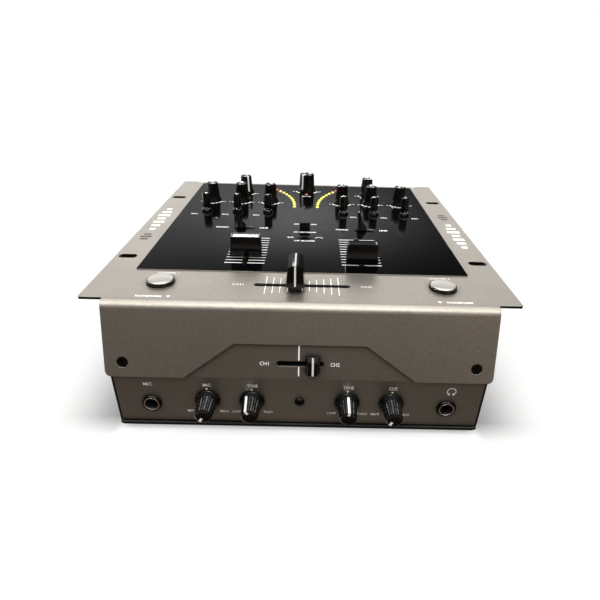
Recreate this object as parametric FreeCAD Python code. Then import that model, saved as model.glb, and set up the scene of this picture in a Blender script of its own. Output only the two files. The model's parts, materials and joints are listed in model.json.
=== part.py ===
import FreeCAD, Part
import math
import os

# Two-channel scratch mixer, millimetres, +Z up, the player sits on the -Y side.
# Everything is drawn from one datum: X = 0 on the centre line, Y = 0 at the front edge of the
# faceplate, Z = 0 on its top face. Saving moves it to the row frame, whose origin lies on the
# table, under the middle of the case.

# ---- driving dimensions -----------------------------------------------------------------
PLATE_W, PLATE_D = 254.0, 248.0          # faceplate with its side flanges
COVER_T, TRAY_T, PANEL_T, BOARD_T = 1.5, 1.2, 1.2, 1.6   # thicknesses
BODY_HALF = 113.0                        # half width of the apron and the rear lip
CASE_HALF = 110.7                        # half width of the tray, outside
INNER_HALF = CASE_HALF - TRAY_T - 0.1    # half width of the front and rear panels
CASE_BOTTOM = -80.5                      # underside of the tray
FOOT_H, FOOT_R = 4.0, 7.5
FRONT_Y, REAR_Y = -15.1, 246.2           # outer faces of the lower front and the rear panel
PANEL_BOTTOM = -79.25
PANEL_FLANGE = 14.0                      # depth of the panels' turned-in flanges
GAP = 0.02                               # clearance between parts that bear on each other

FRONT_EDGE_Y = -115.35                   # row-frame Y of the faceplate's front edge
TOP_Z = FOOT_H - CASE_BOTTOM             # row-frame Z of the faceplate's top face

# Apron: the cover's front, folded down and leaning out
BEND_R = 5.5                             # outer bend radius
APRON_TILT = math.radians(16.0)          # from the vertical
APRON_LEN = 41.0                         # straight length
PANEL_OUT = -(COVER_T + 0.05)            # front panel's outer face, measured out of the apron

# Controls on the faceplate
SIDES = (("left", -1), ("right", 1))
EQ_X, EQ_Y = (32.4, 58.6, 84.8), 184.2
BANDS = {"left": ("high", "mid", "low"), "right": ("low", "mid", "high")}   # in EQ_X order
GAIN_X, GAIN_Y, MASTER_Y = 57.9, 211.0, 222.5
KILL_Y, KILL_PIVOT, KILL_LEAN = 153.4, -4.5, 8.0
LEVER_X, LEVER_Y, LEVER_PIVOT, LEVER_LEAN = 47.4, 115.0, -12.0, 12.0
LINE_X, LINE_Y0, LINE_Y1 = 39.0, 49.5, 94.0      # line fader travel
LINE_MID = (LINE_Y0 + LINE_Y1) / 2
LINE_REST = {"left": 62.0, "right": 53.6}
CROSS_Y, CROSS_REST = 19.7, -4.0                 # crossfader: its line and its resting X
REVERSE_Y, REVERSE_HALF = 113.5, 2.3             # reverse switch: middle, travel each way
REVERSE_REST = REVERSE_Y - REVERSE_HALF
SLOPE_X, SLOPE_Y = 0.2, 96.7                     # middle of the slope switch
BUTTON_X, BUTTON_Y, BUTTON_R = 85.6, 20.6, 8.2
FLANGE_SLOT_X, FLANGE_SLOT_Y = 118.4, (57.5, 192.5)
# Meter lamps of one channel (x, y), peak lamp first
METER = [(29.0, 222.9), (25.5, 217.7), (22.1, 212.9), (19.1, 207.6), (16.4, 202.0),
         (14.2, 196.3), (12.5, 190.3), (11.3, 183.9), (10.5, 177.6), (10.2, 170.5)]
CENTRE_LAMP = (0.0, 208.8)

# Controls on the apron, front and rear
CUE_DOWN, CUE_REST = 31.4, 7.3           # cue fader: distance down the apron, resting X
FRONT_Z = -61.0                          # centre line of the front knobs
FRONT_KNOB_X = (28.7, 55.4)
JACK_X, JACK_Z = 89.3, -63.9
JACK_BORE_R, JACK_DEPTH = 3.2, 22.0      # bore radius and depth behind the panel face
JACK_LEAD = 0.7                          # the straight bore starts this far before the panel
RCA_X = (40.0, 16.0, -8.0, -32.0, -74.0, -96.0)
RCA_Z = (-27.0, -43.0)
POST_X, INLET_X, POWER_X, REAR_CTRL_Z = -53.0, 66.0, 90.0, -35.0

# Screws, feet and boards
APRON_SCREW_X, APRON_SCREW_DOWN = 102.6, 31.9
REAR_SCREW_X, REAR_SCREW_Z = (-100.0, -36.0, 36.0, 100.0), -8.5
SIDE_SCREWS = [(-8.6, -59.5), (118.0, -66.0), (238.0, -59.5)]    # (y, z): front to rear
FOOT_SPOTS = [(-92, 8), (92, 8), (-92, 228), (92, 228)]
STAND_SPOTS = [(-86, 30), (86, 30), (-86, 118), (86, 118), (-86, 206), (86, 206)]
CONTROL_TOP = -11.0
CONTROL_BOTTOM = CONTROL_TOP - BOARD_T
MAIN_BOTTOM = -72.3
MAIN_TOP = MAIN_BOTTOM + BOARD_T
FRONT_BOARD_Y, REAR_BOARD_Y = -2.9, 231.0        # front faces of the upright boards

vec = FreeCAD.Vector
ORIGIN, X, Y, Z = vec(0, 0, 0), vec(1, 0, 0), vec(0, 1, 0), vec(0, 0, 1)
FORWARD = vec(0, -1, 0)                  # towards the player

EQ_COLUMNS = [(band, name, side * x) for name, side in SIDES
              for x, band in zip(EQ_X, BANDS[name])]
KNOB_SPOTS = [(x, EQ_Y) for band, name, x in EQ_COLUMNS]
KNOB_SPOTS += [(-GAIN_X, GAIN_Y), (GAIN_X, GAIN_Y), (0.0, MASTER_Y)]
KILL_SPOTS = [(x, KILL_Y) for band, name, x in EQ_COLUMNS]
PEAK_SPOTS = [(side * METER[0][0], METER[0][1]) for side in (-1, 1)] + [CENTRE_LAMP]
LEVEL_SPOTS = [(side * x, y) for side in (-1, 1) for x, y in METER[1:]]


# ---- shapes -----------------------------------------------------------------------------
def box(x0, x1, y0, y1, z0, z1):
    return Part.makeBox(x1 - x0, y1 - y0, z1 - z0, vec(x0, y0, z0))


def block_z(x, y, half_x, half_y, z0, z1):
    """Box centred on (x, y)."""
    return box(x - half_x, x + half_x, y - half_y, y + half_y, z0, z1)


def block_y(x, z, half_x, half_z, y0, y1):
    """Box centred on (x, z)."""
    return box(x - half_x, x + half_x, y0, y1, z - half_z, z + half_z)


def cyl(radius, z0, z1, x=0.0, y=0.0):
    return Part.makeCylinder(radius, z1 - z0, vec(x, y, z0), Z)


def rod(radius, start, axis, length):
    return Part.makeCylinder(radius, length, start, axis)


def cone(radius0, radius1, start, axis, length):
    return Part.makeCone(radius0, radius1, length, start, axis)


def polygon_face(points):
    return Part.Face(Part.makePolygon(points + [points[0]]))


def prism_x(points_yz, x0, x1):
    return polygon_face([vec(x0, y, z) for y, z in points_yz]).extrude(vec(x1 - x0, 0, 0))


def stadium(x, y, length, width, z0, z1, along="x"):
    """Round-ended bar."""
    radius, reach = width / 2, length / 2 - width / 2
    dx, dy = (reach, 0) if along == "x" else (0, reach)
    half_x, half_y = (reach, radius) if along == "x" else (radius, reach)
    core = block_z(x, y, half_x, half_y, z0, z1)
    ends = [cyl(radius, z0, z1, x + way * dx, y + way * dy) for way in (-1, 1)]
    return core.fuse(ends).removeSplitter()


def seated(shape, base, axis):
    """Stands a shape drawn on the origin along Z on base, along axis."""
    shape.Placement = FreeCAD.Placement(base, FreeCAD.Rotation(Z, axis))
    return shape


def turned(profile, base=ORIGIN, axis=Z):
    """Solid of revolution from (radius, height) pairs, height along axis from base."""
    face = polygon_face([vec(radius, 0, height) for radius, height in profile])
    return seated(face.revolve(ORIGIN, Z, 360), base, axis)


def hexagon(across_flats, base, axis, height):
    radius = across_flats / math.sqrt(3)
    angles = [math.radians(60 * i) for i in range(6)]
    face = polygon_face([vec(radius * math.cos(a), radius * math.sin(a), 0) for a in angles])
    return seated(face.extrude(vec(0, 0, height)), base, axis)


def loft(sections, y=0.0):
    """Ruled solid through rectangles (half_x, half_y, z) centred on (0, y)."""
    wires = []
    for half_x, half_y, z in sections:
        points = [vec(-half_x, y - half_y, z), vec(half_x, y - half_y, z),
                  vec(half_x, y + half_y, z), vec(-half_x, y + half_y, z)]
        wires.append(Part.makePolygon(points + [points[0]]))
    return Part.makeLoft(wires, True, True)


def spun(shape, centre, axis, degrees):
    shape = shape.copy()
    shape.rotate(centre, axis, degrees)
    return shape


# ---- edge selection: each test gets an edge's two end vertices --------------------------
def edges_where(shape, test):
    return [edge for edge in shape.Edges if test(*edge.Vertexes)]


def fillet(shape, radius, test):
    return shape.makeFillet(radius, edges_where(shape, test))


def upright(start, end):
    return abs(start.Z - end.Z) > 0.1


def above(level):
    return lambda start, end: start.Z > level and end.Z > level


def lengthwise_at(level):
    """Long edges along Y at one height."""
    return lambda start, end: (abs(start.Z - level) < 1e-6 and abs(end.Z - level) < 1e-6
                               and abs(start.Y - end.Y) > 10)


def on_fold(y, z):
    """Edges along X through (y, z)."""
    return lambda start, end: all(abs(v.Y - y) < 1e-3 and abs(v.Z - z) < 1e-3
                                  for v in (start, end))


def rounded_plate(half_x, y0, y1, z0, z1, radius):
    return fillet(box(-half_x, half_x, y0, y1, z0, z1), radius, upright)


# ---- saving -----------------------------------------------------------------------------
os.makedirs("parts", exist_ok=True)
for old in os.listdir("parts"):
    if old.endswith(".step"):
        os.remove(os.path.join("parts", old))


def save(name, *shapes):
    """Writes the solids of the shapes to one file, in the row frame."""
    solids = []
    for shape in shapes:
        for solid in shape.Solids:
            solid = solid.copy()
            solid.translate(vec(0, FRONT_EDGE_Y, TOP_Z))
            if not solid.isValid():
                solid.fix(1e-4, 1e-4, 1e-4)
            solids.append(solid)
    result = solids[0] if len(solids) == 1 else Part.makeCompound(solids)
    result.exportStep(os.path.join("parts", name + ".step"))


# ---- the apron's own directions ---------------------------------------------------------
BEND_ANGLE = math.pi / 2 - APRON_TILT
BEND_END = vec(0, -BEND_R * math.sin(BEND_ANGLE), -BEND_R + BEND_R * math.cos(BEND_ANGLE))
DOWN = vec(0, -math.sin(APRON_TILT), -math.cos(APRON_TILT))     # down the apron
OUT = vec(0, -math.cos(APRON_TILT), math.sin(APRON_TILT))       # out of it, to the player


def apron_point(x, down, out=0.0):
    """Point measured down the apron's outer face from the bend, and out of it."""
    return BEND_END + X * x + DOWN * down + OUT * out


def on_apron(shape, x, down, out=0.0):
    """Places a shape drawn with +X along X, +Y up the apron and +Z out of it."""
    shape = shape.copy()
    matrix = FreeCAD.Matrix()
    up = DOWN * -1
    matrix.A11, matrix.A21, matrix.A31 = 1, 0, 0
    matrix.A12, matrix.A22, matrix.A32 = up.x, up.y, up.z
    matrix.A13, matrix.A23, matrix.A33 = OUT.x, OUT.y, OUT.z
    placement = FreeCAD.Placement(matrix)
    placement.Base = apron_point(x, down, out)
    shape.Placement = placement.multiply(shape.Placement)
    return shape


# ---- top cover: faceplate, apron and rear lip in one folded sheet -----------------------
CORNER_R = 3.5                           # apron's lower corners
NOTCH_BOTTOM, NOTCH_TOP, NOTCH_H = 67.8, 38.2, 21.5      # half widths and height
LIP_R, LIP_H = 3.0, 13.0                 # rear lip: outer bend radius, full height
THROUGH = (-4, 2)                        # Z range of cutters through the faceplate


def folded_sheet(bend_y, way, radius, angle, down, length):
    """Sheet bent down from the faceplate at bend_y, towards way * Y."""
    def bend(arc_r):
        return [vec(0, bend_y + way * arc_r * math.sin(a), -radius + arc_r * math.cos(a))
                for a in (0, angle / 2, angle)]

    outer, inner = bend(radius), bend(radius - COVER_T)
    outer_end, inner_end = outer[2] + down * length, inner[2] + down * length
    face = Part.Face(Part.Wire([
        Part.Arc(*outer).toShape(),
        Part.makeLine(outer[2], outer_end),
        Part.makeLine(outer_end, inner_end),
        Part.makeLine(inner_end, inner[2]),
        Part.Arc(*inner[::-1]).toShape(),
        Part.makeLine(inner[0], outer[0])]))
    face.translate(vec(-BODY_HALF, 0, 0))
    return face.extrude(vec(2 * BODY_HALF, 0, 0))


def apron_cutters():
    """The two rounded lower corners and the notch in the lower edge."""
    centre_x = BODY_HALF - CORNER_R
    right = box(centre_x, BODY_HALF + 1, -1, CORNER_R, -4, 4)
    right = right.cut(cyl(CORNER_R, -5, 5, centre_x, CORNER_R))
    left = right.mirror(ORIGIN, X)
    outline = [(-NOTCH_BOTTOM - 2, -1.5), (NOTCH_BOTTOM + 2, -1.5),
               (NOTCH_TOP, NOTCH_H), (-NOTCH_TOP, NOTCH_H)]
    notch = polygon_face([vec(x, y, -4) for x, y in outline]).extrude(vec(0, 0, 8))
    notch = fillet(notch, 2.5, lambda start, end: abs(start.Y - NOTCH_H) < 1e-6
                   and abs(end.Y - NOTCH_H) < 1e-6 and upright(start, end))
    return [on_apron(cutter, 0, APRON_LEN) for cutter in (left, right, notch)]


def control_openings(knob_hole_r):
    """Cutters shared by the faceplate and the overlay."""
    cutters = [cyl(knob_hole_r, *THROUGH, x, y) for x, y in KNOB_SPOTS]
    cutters += [cyl(3.15, *THROUGH, x, y) for x, y in KILL_SPOTS]
    cutters += [cyl(1.6, *THROUGH, x, y) for x, y in LEVEL_SPOTS + PEAK_SPOTS]
    for side in (-1, 1):
        cutters.append(stadium(side * LINE_X, LINE_MID, LINE_Y1 - LINE_Y0 + 7.5, 2.6,
                               *THROUGH, "y"))
        cutters.append(stadium(side * LEVER_X, LEVER_Y, 17.0, 7.6, *THROUGH))
    cutters.append(block_z(0, REVERSE_Y, 2.7, REVERSE_HALF + 1.7, *THROUGH))
    cutters.append(stadium(SLOPE_X, SLOPE_Y, 13.0, 4.6, *THROUGH))
    return cutters


def apron_screw_hole(side):
    return on_apron(cyl(1.75, -6, 6), side * APRON_SCREW_X, APRON_SCREW_DOWN)


def top_cover():
    plate = rounded_plate(PLATE_W / 2, 0, PLATE_D, -COVER_T, 0, 1.3)
    apron = folded_sheet(0, -1, BEND_R, BEND_ANGLE, DOWN, APRON_LEN).cut(apron_cutters())
    lip = folded_sheet(PLATE_D - LIP_R, 1, LIP_R, math.pi / 2, Z * -1, LIP_H - LIP_R)
    lip_gap = box(-BODY_HALF, BODY_HALF, PLATE_D - LIP_R, PLATE_D + 1, -COVER_T - 1, 1)
    cover = plate.cut(lip_gap).fuse([apron, lip]).removeSplitter()

    cutters = control_openings(3.65)
    cutters.append(stadium(0, CROSS_Y, 58.4, 4.0, *THROUGH))
    for side in (-1, 1):
        cutters.append(cyl(BUTTON_R + 0.25, *THROUGH, side * BUTTON_X, BUTTON_Y))
        cutters += [stadium(side * FLANGE_SLOT_X, y, 12.5, 6.0, *THROUGH)
                    for y in FLANGE_SLOT_Y]
    countersink = cone(1.75, 3.5, vec(0, 0, -1.6), Z, 1.75)
    for side in (-1, 1):
        cutters.append(apron_screw_hole(side))
        cutters.append(on_apron(countersink, side * APRON_SCREW_X, APRON_SCREW_DOWN))
    cutters += [rod(1.7, vec(x, PLATE_D - 4, REAR_SCREW_Z), Y, 8) for x in REAR_SCREW_X]
    return cover.cut(cutters)


save("top_cover", top_cover())
save("fascia_overlay", rounded_plate(106.0, 36.9, 241.0, 0.0, 0.5, 1.0).cut(control_openings(5.4)))


# ---- front panel: slopes behind the apron, then drops straight and turns under ----------
def slope_at(out, y):
    """Where the line parallel to the apron, at out from its face, reaches y."""
    start = apron_point(0, 0, out)
    return start + DOWN * ((y - start.y) / DOWN.y)


def corner_mask(y0, y1):
    """Everything inside the tray's rounded floor corners."""
    floor = PANEL_BOTTOM - 0.01
    mask = box(-INNER_HALF - 0.01, INNER_HALF + 0.01, y0, y1, floor, 5)
    return fillet(mask, 2.0, lengthwise_at(floor))


def ear_span(side):
    """X range of the side flange on one end of a panel."""
    return sorted((side * (INNER_HALF - PANEL_T), side * INNER_HALF))


def ear_hole(side, spot):
    return rod(1.6, vec(side * (CASE_HALF - 1) - 3, *spot), X, 6)


def front_panel():
    inner_y, flange_y, flange_top = FRONT_Y + PANEL_T, FRONT_Y + PANEL_FLANGE, PANEL_BOTTOM + PANEL_T
    knee = slope_at(PANEL_OUT, FRONT_Y)
    inner_knee = slope_at(PANEL_OUT - PANEL_T, inner_y)
    top, inner_top = apron_point(0, 3.0, PANEL_OUT), apron_point(0, 3.0, PANEL_OUT - PANEL_T)
    profile = [(top.y, top.z), (knee.y, knee.z), (FRONT_Y, PANEL_BOTTOM),
               (flange_y, PANEL_BOTTOM), (flange_y, flange_top), (inner_y, flange_top),
               (inner_knee.y, inner_knee.z), (inner_top.y, inner_top.z)]
    panel = prism_x(profile, -INNER_HALF, INNER_HALF)
    panel = fillet(panel, 2.4, on_fold(knee.y, knee.z))
    panel = fillet(panel, 2.0, on_fold(FRONT_Y, PANEL_BOTTOM))
    ear = [(inner_y, flange_top), (flange_y, flange_top), (flange_y, -45.0),
           (inner_knee.y, inner_knee.z)]
    panel = panel.fuse([prism_x(ear, *ear_span(side)) for side in (-1, 1)]).removeSplitter()

    cutters = []
    for side in (-1, 1):
        cutters.append(rod(4.75, vec(side * JACK_X, FRONT_Y - 5, JACK_Z), Y, 10))
        for x in FRONT_KNOB_X:
            cutters.append(rod(3.65, vec(side * x, FRONT_Y - 5, FRONT_Z), Y, 10))
        cutters.append(apron_screw_hole(side))
        cutters.append(ear_hole(side, SIDE_SCREWS[0]))
    cutters.append(rod(1.75, vec(0, FRONT_Y - 5, FRONT_Z), Y, 10))
    cutters.append(on_apron(stadium(0, 0, 27.6, 3.2, -6, 3), 0, CUE_DOWN))
    return panel.cut(cutters).common(corner_mask(FRONT_Y - 5, 30))


save("front_panel", front_panel())

# ---- tray: floor, both side walls and a low front edge ----------------------------------
TRAY_BEND_R = 3.0
FRONT_LIP = 1.9                          # height of the turned-up front edge


def case_tray():
    inner_y, floor, top = FRONT_Y - 0.3, CASE_BOTTOM + TRAY_T, -COVER_T - 0.1
    inner_half = CASE_HALF - TRAY_T
    tray = box(-CASE_HALF, CASE_HALF, inner_y - TRAY_T, REAR_Y + 0.1, CASE_BOTTOM, top)
    tray = fillet(tray, TRAY_BEND_R, lengthwise_at(CASE_BOTTOM))
    hollow = box(-inner_half, inner_half, inner_y, REAR_Y + 2, floor, top + 5)
    hollow = fillet(hollow, TRAY_BEND_R - TRAY_T, lengthwise_at(floor))
    tray = tray.cut([hollow, box(-CASE_HALF - 1, CASE_HALF + 1, FRONT_Y - 3, FRONT_Y,
                                 CASE_BOTTOM + FRONT_LIP, top + 5)])
    # keep clear of the apron, its fold and the rear lip's bend
    high = apron_point(0, -12, -(COVER_T + 0.15))
    low = apron_point(0, APRON_LEN + 0.6, -(COVER_T + 0.15))
    tray = tray.cut([
        prism_x([(high.y, high.z + 30), (high.y, high.z), (low.y, low.z),
                 (low.y - 20, low.z), (-40, 30)], -200, 200),
        box(-200, 200, -20, BEND_R + 1.0, -BEND_R - 0.6, 5),
        box(-200, 200, REAR_Y - 1.6, REAR_Y + 5, -3.2, 5)])

    cutters = [cyl(1.75, CASE_BOTTOM - 2, CASE_BOTTOM + 5, x, y)
               for x, y in FOOT_SPOTS + STAND_SPOTS]
    for side in (-1, 1):
        wall = side * CASE_HALF
        cutters += [rod(1.7, vec(wall - 4, y, z), X, 8) for y, z in SIDE_SCREWS]
        for i in range(7):               # cooling slots
            cutters.append(box(wall - 4, wall + 4, 150 + 9 * i, 153 + 9 * i, -50, -30))
    return tray.cut(cutters)


save("case_tray", case_tray())


# ---- rear panel -------------------------------------------------------------------------
def rear_panel():
    flange_y = REAR_Y - PANEL_FLANGE
    panel = box(-INNER_HALF, INNER_HALF, REAR_Y - PANEL_T, REAR_Y, PANEL_BOTTOM, -3.2)
    panel = panel.fuse(box(-INNER_HALF, INNER_HALF, flange_y, REAR_Y,
                           PANEL_BOTTOM, PANEL_BOTTOM + PANEL_T))
    for side in (-1, 1):
        panel = panel.fuse(box(*ear_span(side), flange_y, REAR_Y, PANEL_BOTTOM, -10))
    panel = panel.removeSplitter()

    holes = [(1.7, x, REAR_SCREW_Z) for x in REAR_SCREW_X]       # radius, x, z
    holes += [(4.6, x, z) for x in RCA_X for z in RCA_Z]
    holes += [(2.2, POST_X, REAR_CTRL_Z), (5.1, INLET_X, REAR_CTRL_Z)]
    cutters = [rod(radius, vec(x, REAR_Y - 6, z), Y, 10) for radius, x, z in holes]
    cutters.append(block_y(POWER_X, REAR_CTRL_Z, 6.6, 9.8, REAR_Y - 6, REAR_Y + 4))
    cutters += [ear_hole(side, SIDE_SCREWS[-1]) for side in (-1, 1)]
    return panel.cut(cutters).common(corner_mask(REAR_Y - 30, REAR_Y + 5))


save("rear_panel", rear_panel())

# ---- feet and fasteners -----------------------------------------------------------------
FOOT_RECESS = 2.6                        # depth of the screw recess in a foot
SHANK_R = 1.5


def rubber_foot(x, y):
    bottom = CASE_BOTTOM - FOOT_H
    profile = [(FOOT_R - 1.2, 0), (FOOT_R, 0.8), (FOOT_R + 0.6, FOOT_H), (0, FOOT_H),
               (0, FOOT_RECESS), (4.0, FOOT_RECESS), (4.0, 0)]
    return turned(profile, vec(x, y, bottom)).cut(cyl(1.7, bottom - 1, CASE_BOTTOM + 1, x, y))


def cross_recess(base, axis, reach, depth):
    """Cutter for a cross recess, opening along axis at base."""
    bars = [box(-reach, reach, -0.42, 0.42, -depth, 0.6),
            box(-0.42, 0.42, -reach, reach, -depth, 0.6)]
    middle = cone(0.5, 1.25, vec(0, 0, -depth), Z, depth + 0.6)
    return seated(bars[0].fuse([bars[1], middle]), base, axis)


def pan_screw(base, axis, shank, head_r=2.9, head_h=1.7):
    """Pan head screw: head above base along axis, shank below."""
    profile = [(0, -shank), (SHANK_R, -shank + 0.5), (SHANK_R, 0), (head_r, 0),
               (head_r, head_h * 0.45), (head_r * 0.78, head_h * 0.88),
               (head_r * 0.4, head_h), (0, head_h)]
    recess = cross_recess(base + axis * head_h, axis, head_r * 0.6, 1.2)
    return turned(profile, base, axis).cut(recess)


def flat_screw(base, axis, head_r=3.2, shank=8.0):
    """Countersunk screw, its head flush with base."""
    profile = [(0, -shank), (SHANK_R, -shank + 0.5), (SHANK_R, -1.75),
               (head_r, -0.12), (head_r, 0), (0, 0)]
    return turned(profile, base, axis).cut(cross_recess(base, axis, head_r * 0.62, 1.3))


def case_screws():
    below = Z * -1
    foot_seat = CASE_BOTTOM - FOOT_H + FOOT_RECESS - GAP
    screws = [flat_screw(apron_point(side * APRON_SCREW_X, APRON_SCREW_DOWN), OUT)
              for side in (-1, 1)]
    screws.append(pan_screw(vec(0, FRONT_Y - GAP, FRONT_Z), FORWARD, 7.0, 2.95, 1.5))
    screws += [pan_screw(vec(side * (CASE_HALF + GAP), y, z), X * side, 6.0)
               for side in (-1, 1) for y, z in SIDE_SCREWS]
    screws += [pan_screw(vec(x, PLATE_D + GAP, REAR_SCREW_Z), Y, 6.0) for x in REAR_SCREW_X]
    screws += [pan_screw(vec(x, y, CASE_BOTTOM - GAP), below, 5.0) for x, y in STAND_SPOTS]
    screws += [pan_screw(vec(x, y, foot_seat), below, 6.0) for x, y in FOOT_SPOTS]
    return screws


save("rubber_feet", *[rubber_foot(x, y) for x, y in FOOT_SPOTS])
save("case_screws", *case_screws())

# ---- control board and potentiometers ---------------------------------------------------
# Potentiometer mountings: point on the panel's outer face, axis, panel thickness
POT_MOUNTS = [(vec(x, y, 0), Z, COVER_T) for x, y in KNOB_SPOTS]
POT_MOUNTS += [(vec(side * x, FRONT_Y, FRONT_Z), FORWARD, PANEL_T)
               for side in (-1, 1) for x in FRONT_KNOB_X]


def control_board():
    board = box(-103, 103, 128, 236, CONTROL_BOTTOM, CONTROL_TOP)
    tongue = box(-22, 22, 84, 128.5, CONTROL_BOTTOM, CONTROL_TOP)
    return board.fuse(tongue).removeSplitter()


def potentiometer(base, axis):
    """Body behind the panel and neck through it; base is on the panel's inner face."""
    body = box(-5.6, 5.6, -6.2, 5.4, -9.4, -0.1)
    body = body.makeChamfer(0.8, edges_where(body, upright))
    return seated(body.fuse(cyl(3.5, -0.1, 3.6)).cut(cyl(3.06, -8.0, 6)), base, axis)


def washer_and_nut(base, axis):
    washer = turned([(3.55, 0), (5.2, 0), (5.2, 0.4), (3.55, 0.4)], base, axis)
    nut = hexagon(9.0, base + axis * 0.45, axis, 1.9).cut(rod(3.55, base - axis, axis, 6))
    return [washer, nut]


save("control_board", control_board())
save("potentiometers", *[potentiometer(face - axis * thickness, axis)
                         for face, axis, thickness in POT_MOUNTS])

# ---- rotary knobs -----------------------------------------------------------------------
# Skirt and top radius, height, and height of the foot above the panel
TOP_KNOB = dict(base_r=7.1, top_r=4.9, height=17.0, foot=0.9)
MASTER_KNOB = dict(base_r=8.3, top_r=6.8, height=17.3, foot=0.9)
FRONT_KNOB = dict(base_r=7.5, top_r=4.95, height=14.4, foot=0.4)
FRONT_KNOBS = [("mic_level", -FRONT_KNOB_X[1], -150), ("mic_tone", -FRONT_KNOB_X[0], -28),
               ("phones_tone", FRONT_KNOB_X[0], 3), ("phones_level", FRONT_KNOB_X[1], -150)]


def knob_shape(base_r, top_r, height, foot):
    """Skirted knob on the origin, pointer towards +Y."""
    knob = turned([
        (0, height), (top_r - 1.0, height), (top_r - 0.25, height - 0.3), (top_r, height - 1.0),
        (top_r + (base_r - top_r) * 0.42, foot + 3.4), (base_r - 0.45, foot + 1.5),
        (base_r, foot + 0.8), (base_r, foot), (5.9, foot), (5.9, foot + 2.9), (0, foot + 2.9)])
    knob = knob.cut(cyl(3.02, 0, height - 2.6))
    return knob.cut([box(-0.6, 0.6, top_r - 0.55, base_r + 2, foot + 1.0, height + 1),
                     box(-0.6, 0.6, 1.2, top_r + 1, height - 0.35, height + 1)])


def rotary(base, degrees, size, on_front=False):
    """Knob and shaft, turned clockwise from +Y, or from up on the front panel."""
    height, foot = size["height"], size["foot"]
    shaft = cyl(3.0, -9.1, height - 2.7).cut(box(-4, 4, -4, -1.9, foot + 4.0, height))
    # segment filling the space beside the shaft's flat
    segment = box(-2.3, 2.3, -2.98, -1.95, foot + 4.2, height - 2.75).common(cyl(2.98, 0, 40))
    knob = knob_shape(**size).fuse(segment).removeSplitter()
    shapes = []
    for shape in (knob, shaft):
        shape = spun(shape, ORIGIN, Z, -degrees)
        if on_front:
            facing = FreeCAD.Placement(ORIGIN, FreeCAD.Rotation(X, Z, FORWARD, "XYZ"))
            shape.Placement = facing.multiply(shape.Placement)
        shape.translate(base)
        shapes.append(shape)
    return shapes


for band, name, x in EQ_COLUMNS:
    save("eq_%s_knob_%s" % (band, name), *rotary(vec(x, EQ_Y, 0), 0, TOP_KNOB))
save("gain_knob_left", *rotary(vec(-GAIN_X, GAIN_Y, 0), 150, TOP_KNOB))
save("gain_knob_right", *rotary(vec(GAIN_X, GAIN_Y, 0), 105, TOP_KNOB))
save("master_knob", *rotary(vec(0, MASTER_Y, 0), -145, MASTER_KNOB))
for name, x, degrees in FRONT_KNOBS:
    save(name + "_knob", *rotary(vec(x, FRONT_Y, FRONT_Z), degrees, FRONT_KNOB, True))

# ---- kill toggles -----------------------------------------------------------------------
SWITCH_BOTTOM = -10.9                    # underside of the kill and slide switch bodies
HOUSING_TOP = -1.6                       # top of the parts hung just under the faceplate


def kill_body(x, y):
    body = block_z(x, y, 4.0, 6.5, SWITCH_BOTTOM, HOUSING_TOP)
    return body.cut([cone(2.2, 2.9, vec(x, y, KILL_PIVOT - 1.6), Z, 4.6),
                     Part.makeSphere(2.3, vec(x, y, KILL_PIVOT)),
                     rod(0.86, vec(x - 3.2, y, KILL_PIVOT), X, 6.4)])


def kill_collar(x, y):
    """Threaded neck and the ring nut around it."""
    neck = cyl(3.1, -1.58, 3.2, x, y).cut(cone(2.25, 2.95, vec(x, y, -2), Z, 6))
    nut = turned([(3.12, 0.52), (4.4, 0.52), (4.4, 1.2), (3.5, 2.8), (3.12, 2.9)], vec(x, y, 0))
    return [neck, nut]


def kill_toggle(x, y):
    """Cap and lever, leaning towards the rear or front about the pivot."""
    pivot = vec(x, y, KILL_PIVOT)
    lever = turned([(0, -1.5), (1.2, -1.2), (1.0, 3.0), (1.15, 9.0), (1.15, 17.0), (0, 17.0)],
                   pivot)
    cap = turned([(0, 4.0), (3.1, 4.0), (3.3, 4.2), (3.5, 14.7), (3.1, 15.4), (0, 15.7)],
                 vec(x, y, 0)).cut(lever)
    ball = Part.makeSphere(2.0, pivot)
    trunnions = rod(0.8, pivot - X * 3.0, X, 6.0)        # the lever swings on these
    lever = lever.fuse([ball, trunnions]).removeSplitter()
    return [spun(shape, pivot, X, -KILL_LEAN) for shape in (cap, lever)]


for band, name, x in EQ_COLUMNS:
    save("kill_%s_toggle_%s" % (band, name), *kill_toggle(x, KILL_Y))
save("kill_collars", *[shape for x, y in KILL_SPOTS for shape in kill_collar(x, y)])


# ---- transform levers -------------------------------------------------------------------
def transform_lever(x):
    pivot = vec(x, LEVER_Y, LEVER_PIVOT)
    handle = turned([(0, 28.2), (0.8, 28.05), (1.25, 27.5), (1.4, 25.0), (1.65, 22.0),
                     (2.05, 19.3), (2.65, 17.0), (3.45, 15.2), (4.2, 14.25), (4.2, 13.9),
                     (3.4, 13.9), (3.4, 8.2), (0, 8.2)], pivot)
    stalk = rod(1.5, pivot + Z * 1.2, Z, 7.1)
    hub = rod(2.6, pivot - Y * 3.0, Y, 6.0).cut(rod(0.82, pivot - Y * 4, Y, 8))
    return spun(handle.fuse([stalk, hub]).removeSplitter(), pivot, Y, -LEVER_LEAN)


def lever_housing(x):
    """Open-topped housing under the plate, and the pin the lever turns on."""
    housing = block_z(x, LEVER_Y, 9.5, 6.2, -19.0, HOUSING_TOP)
    housing = housing.cut(block_z(x, LEVER_Y, 8.3, 4.6, -17.6, 0))
    pin = rod(0.8, vec(x, LEVER_Y - 5.4, LEVER_PIVOT), Y, 10.8)
    return [housing.cut(pin), pin]


# ---- slide switches ---------------------------------------------------------------------
def slide_stem(x, y, stem, stem_top, tongue):
    """Stem through the plate and tongue in the housing; (half_x, half_y) each."""
    return [block_z(x, y, *stem, -7.4, stem_top), block_z(x, y, *tongue, -8.4, -7.2)]


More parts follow.
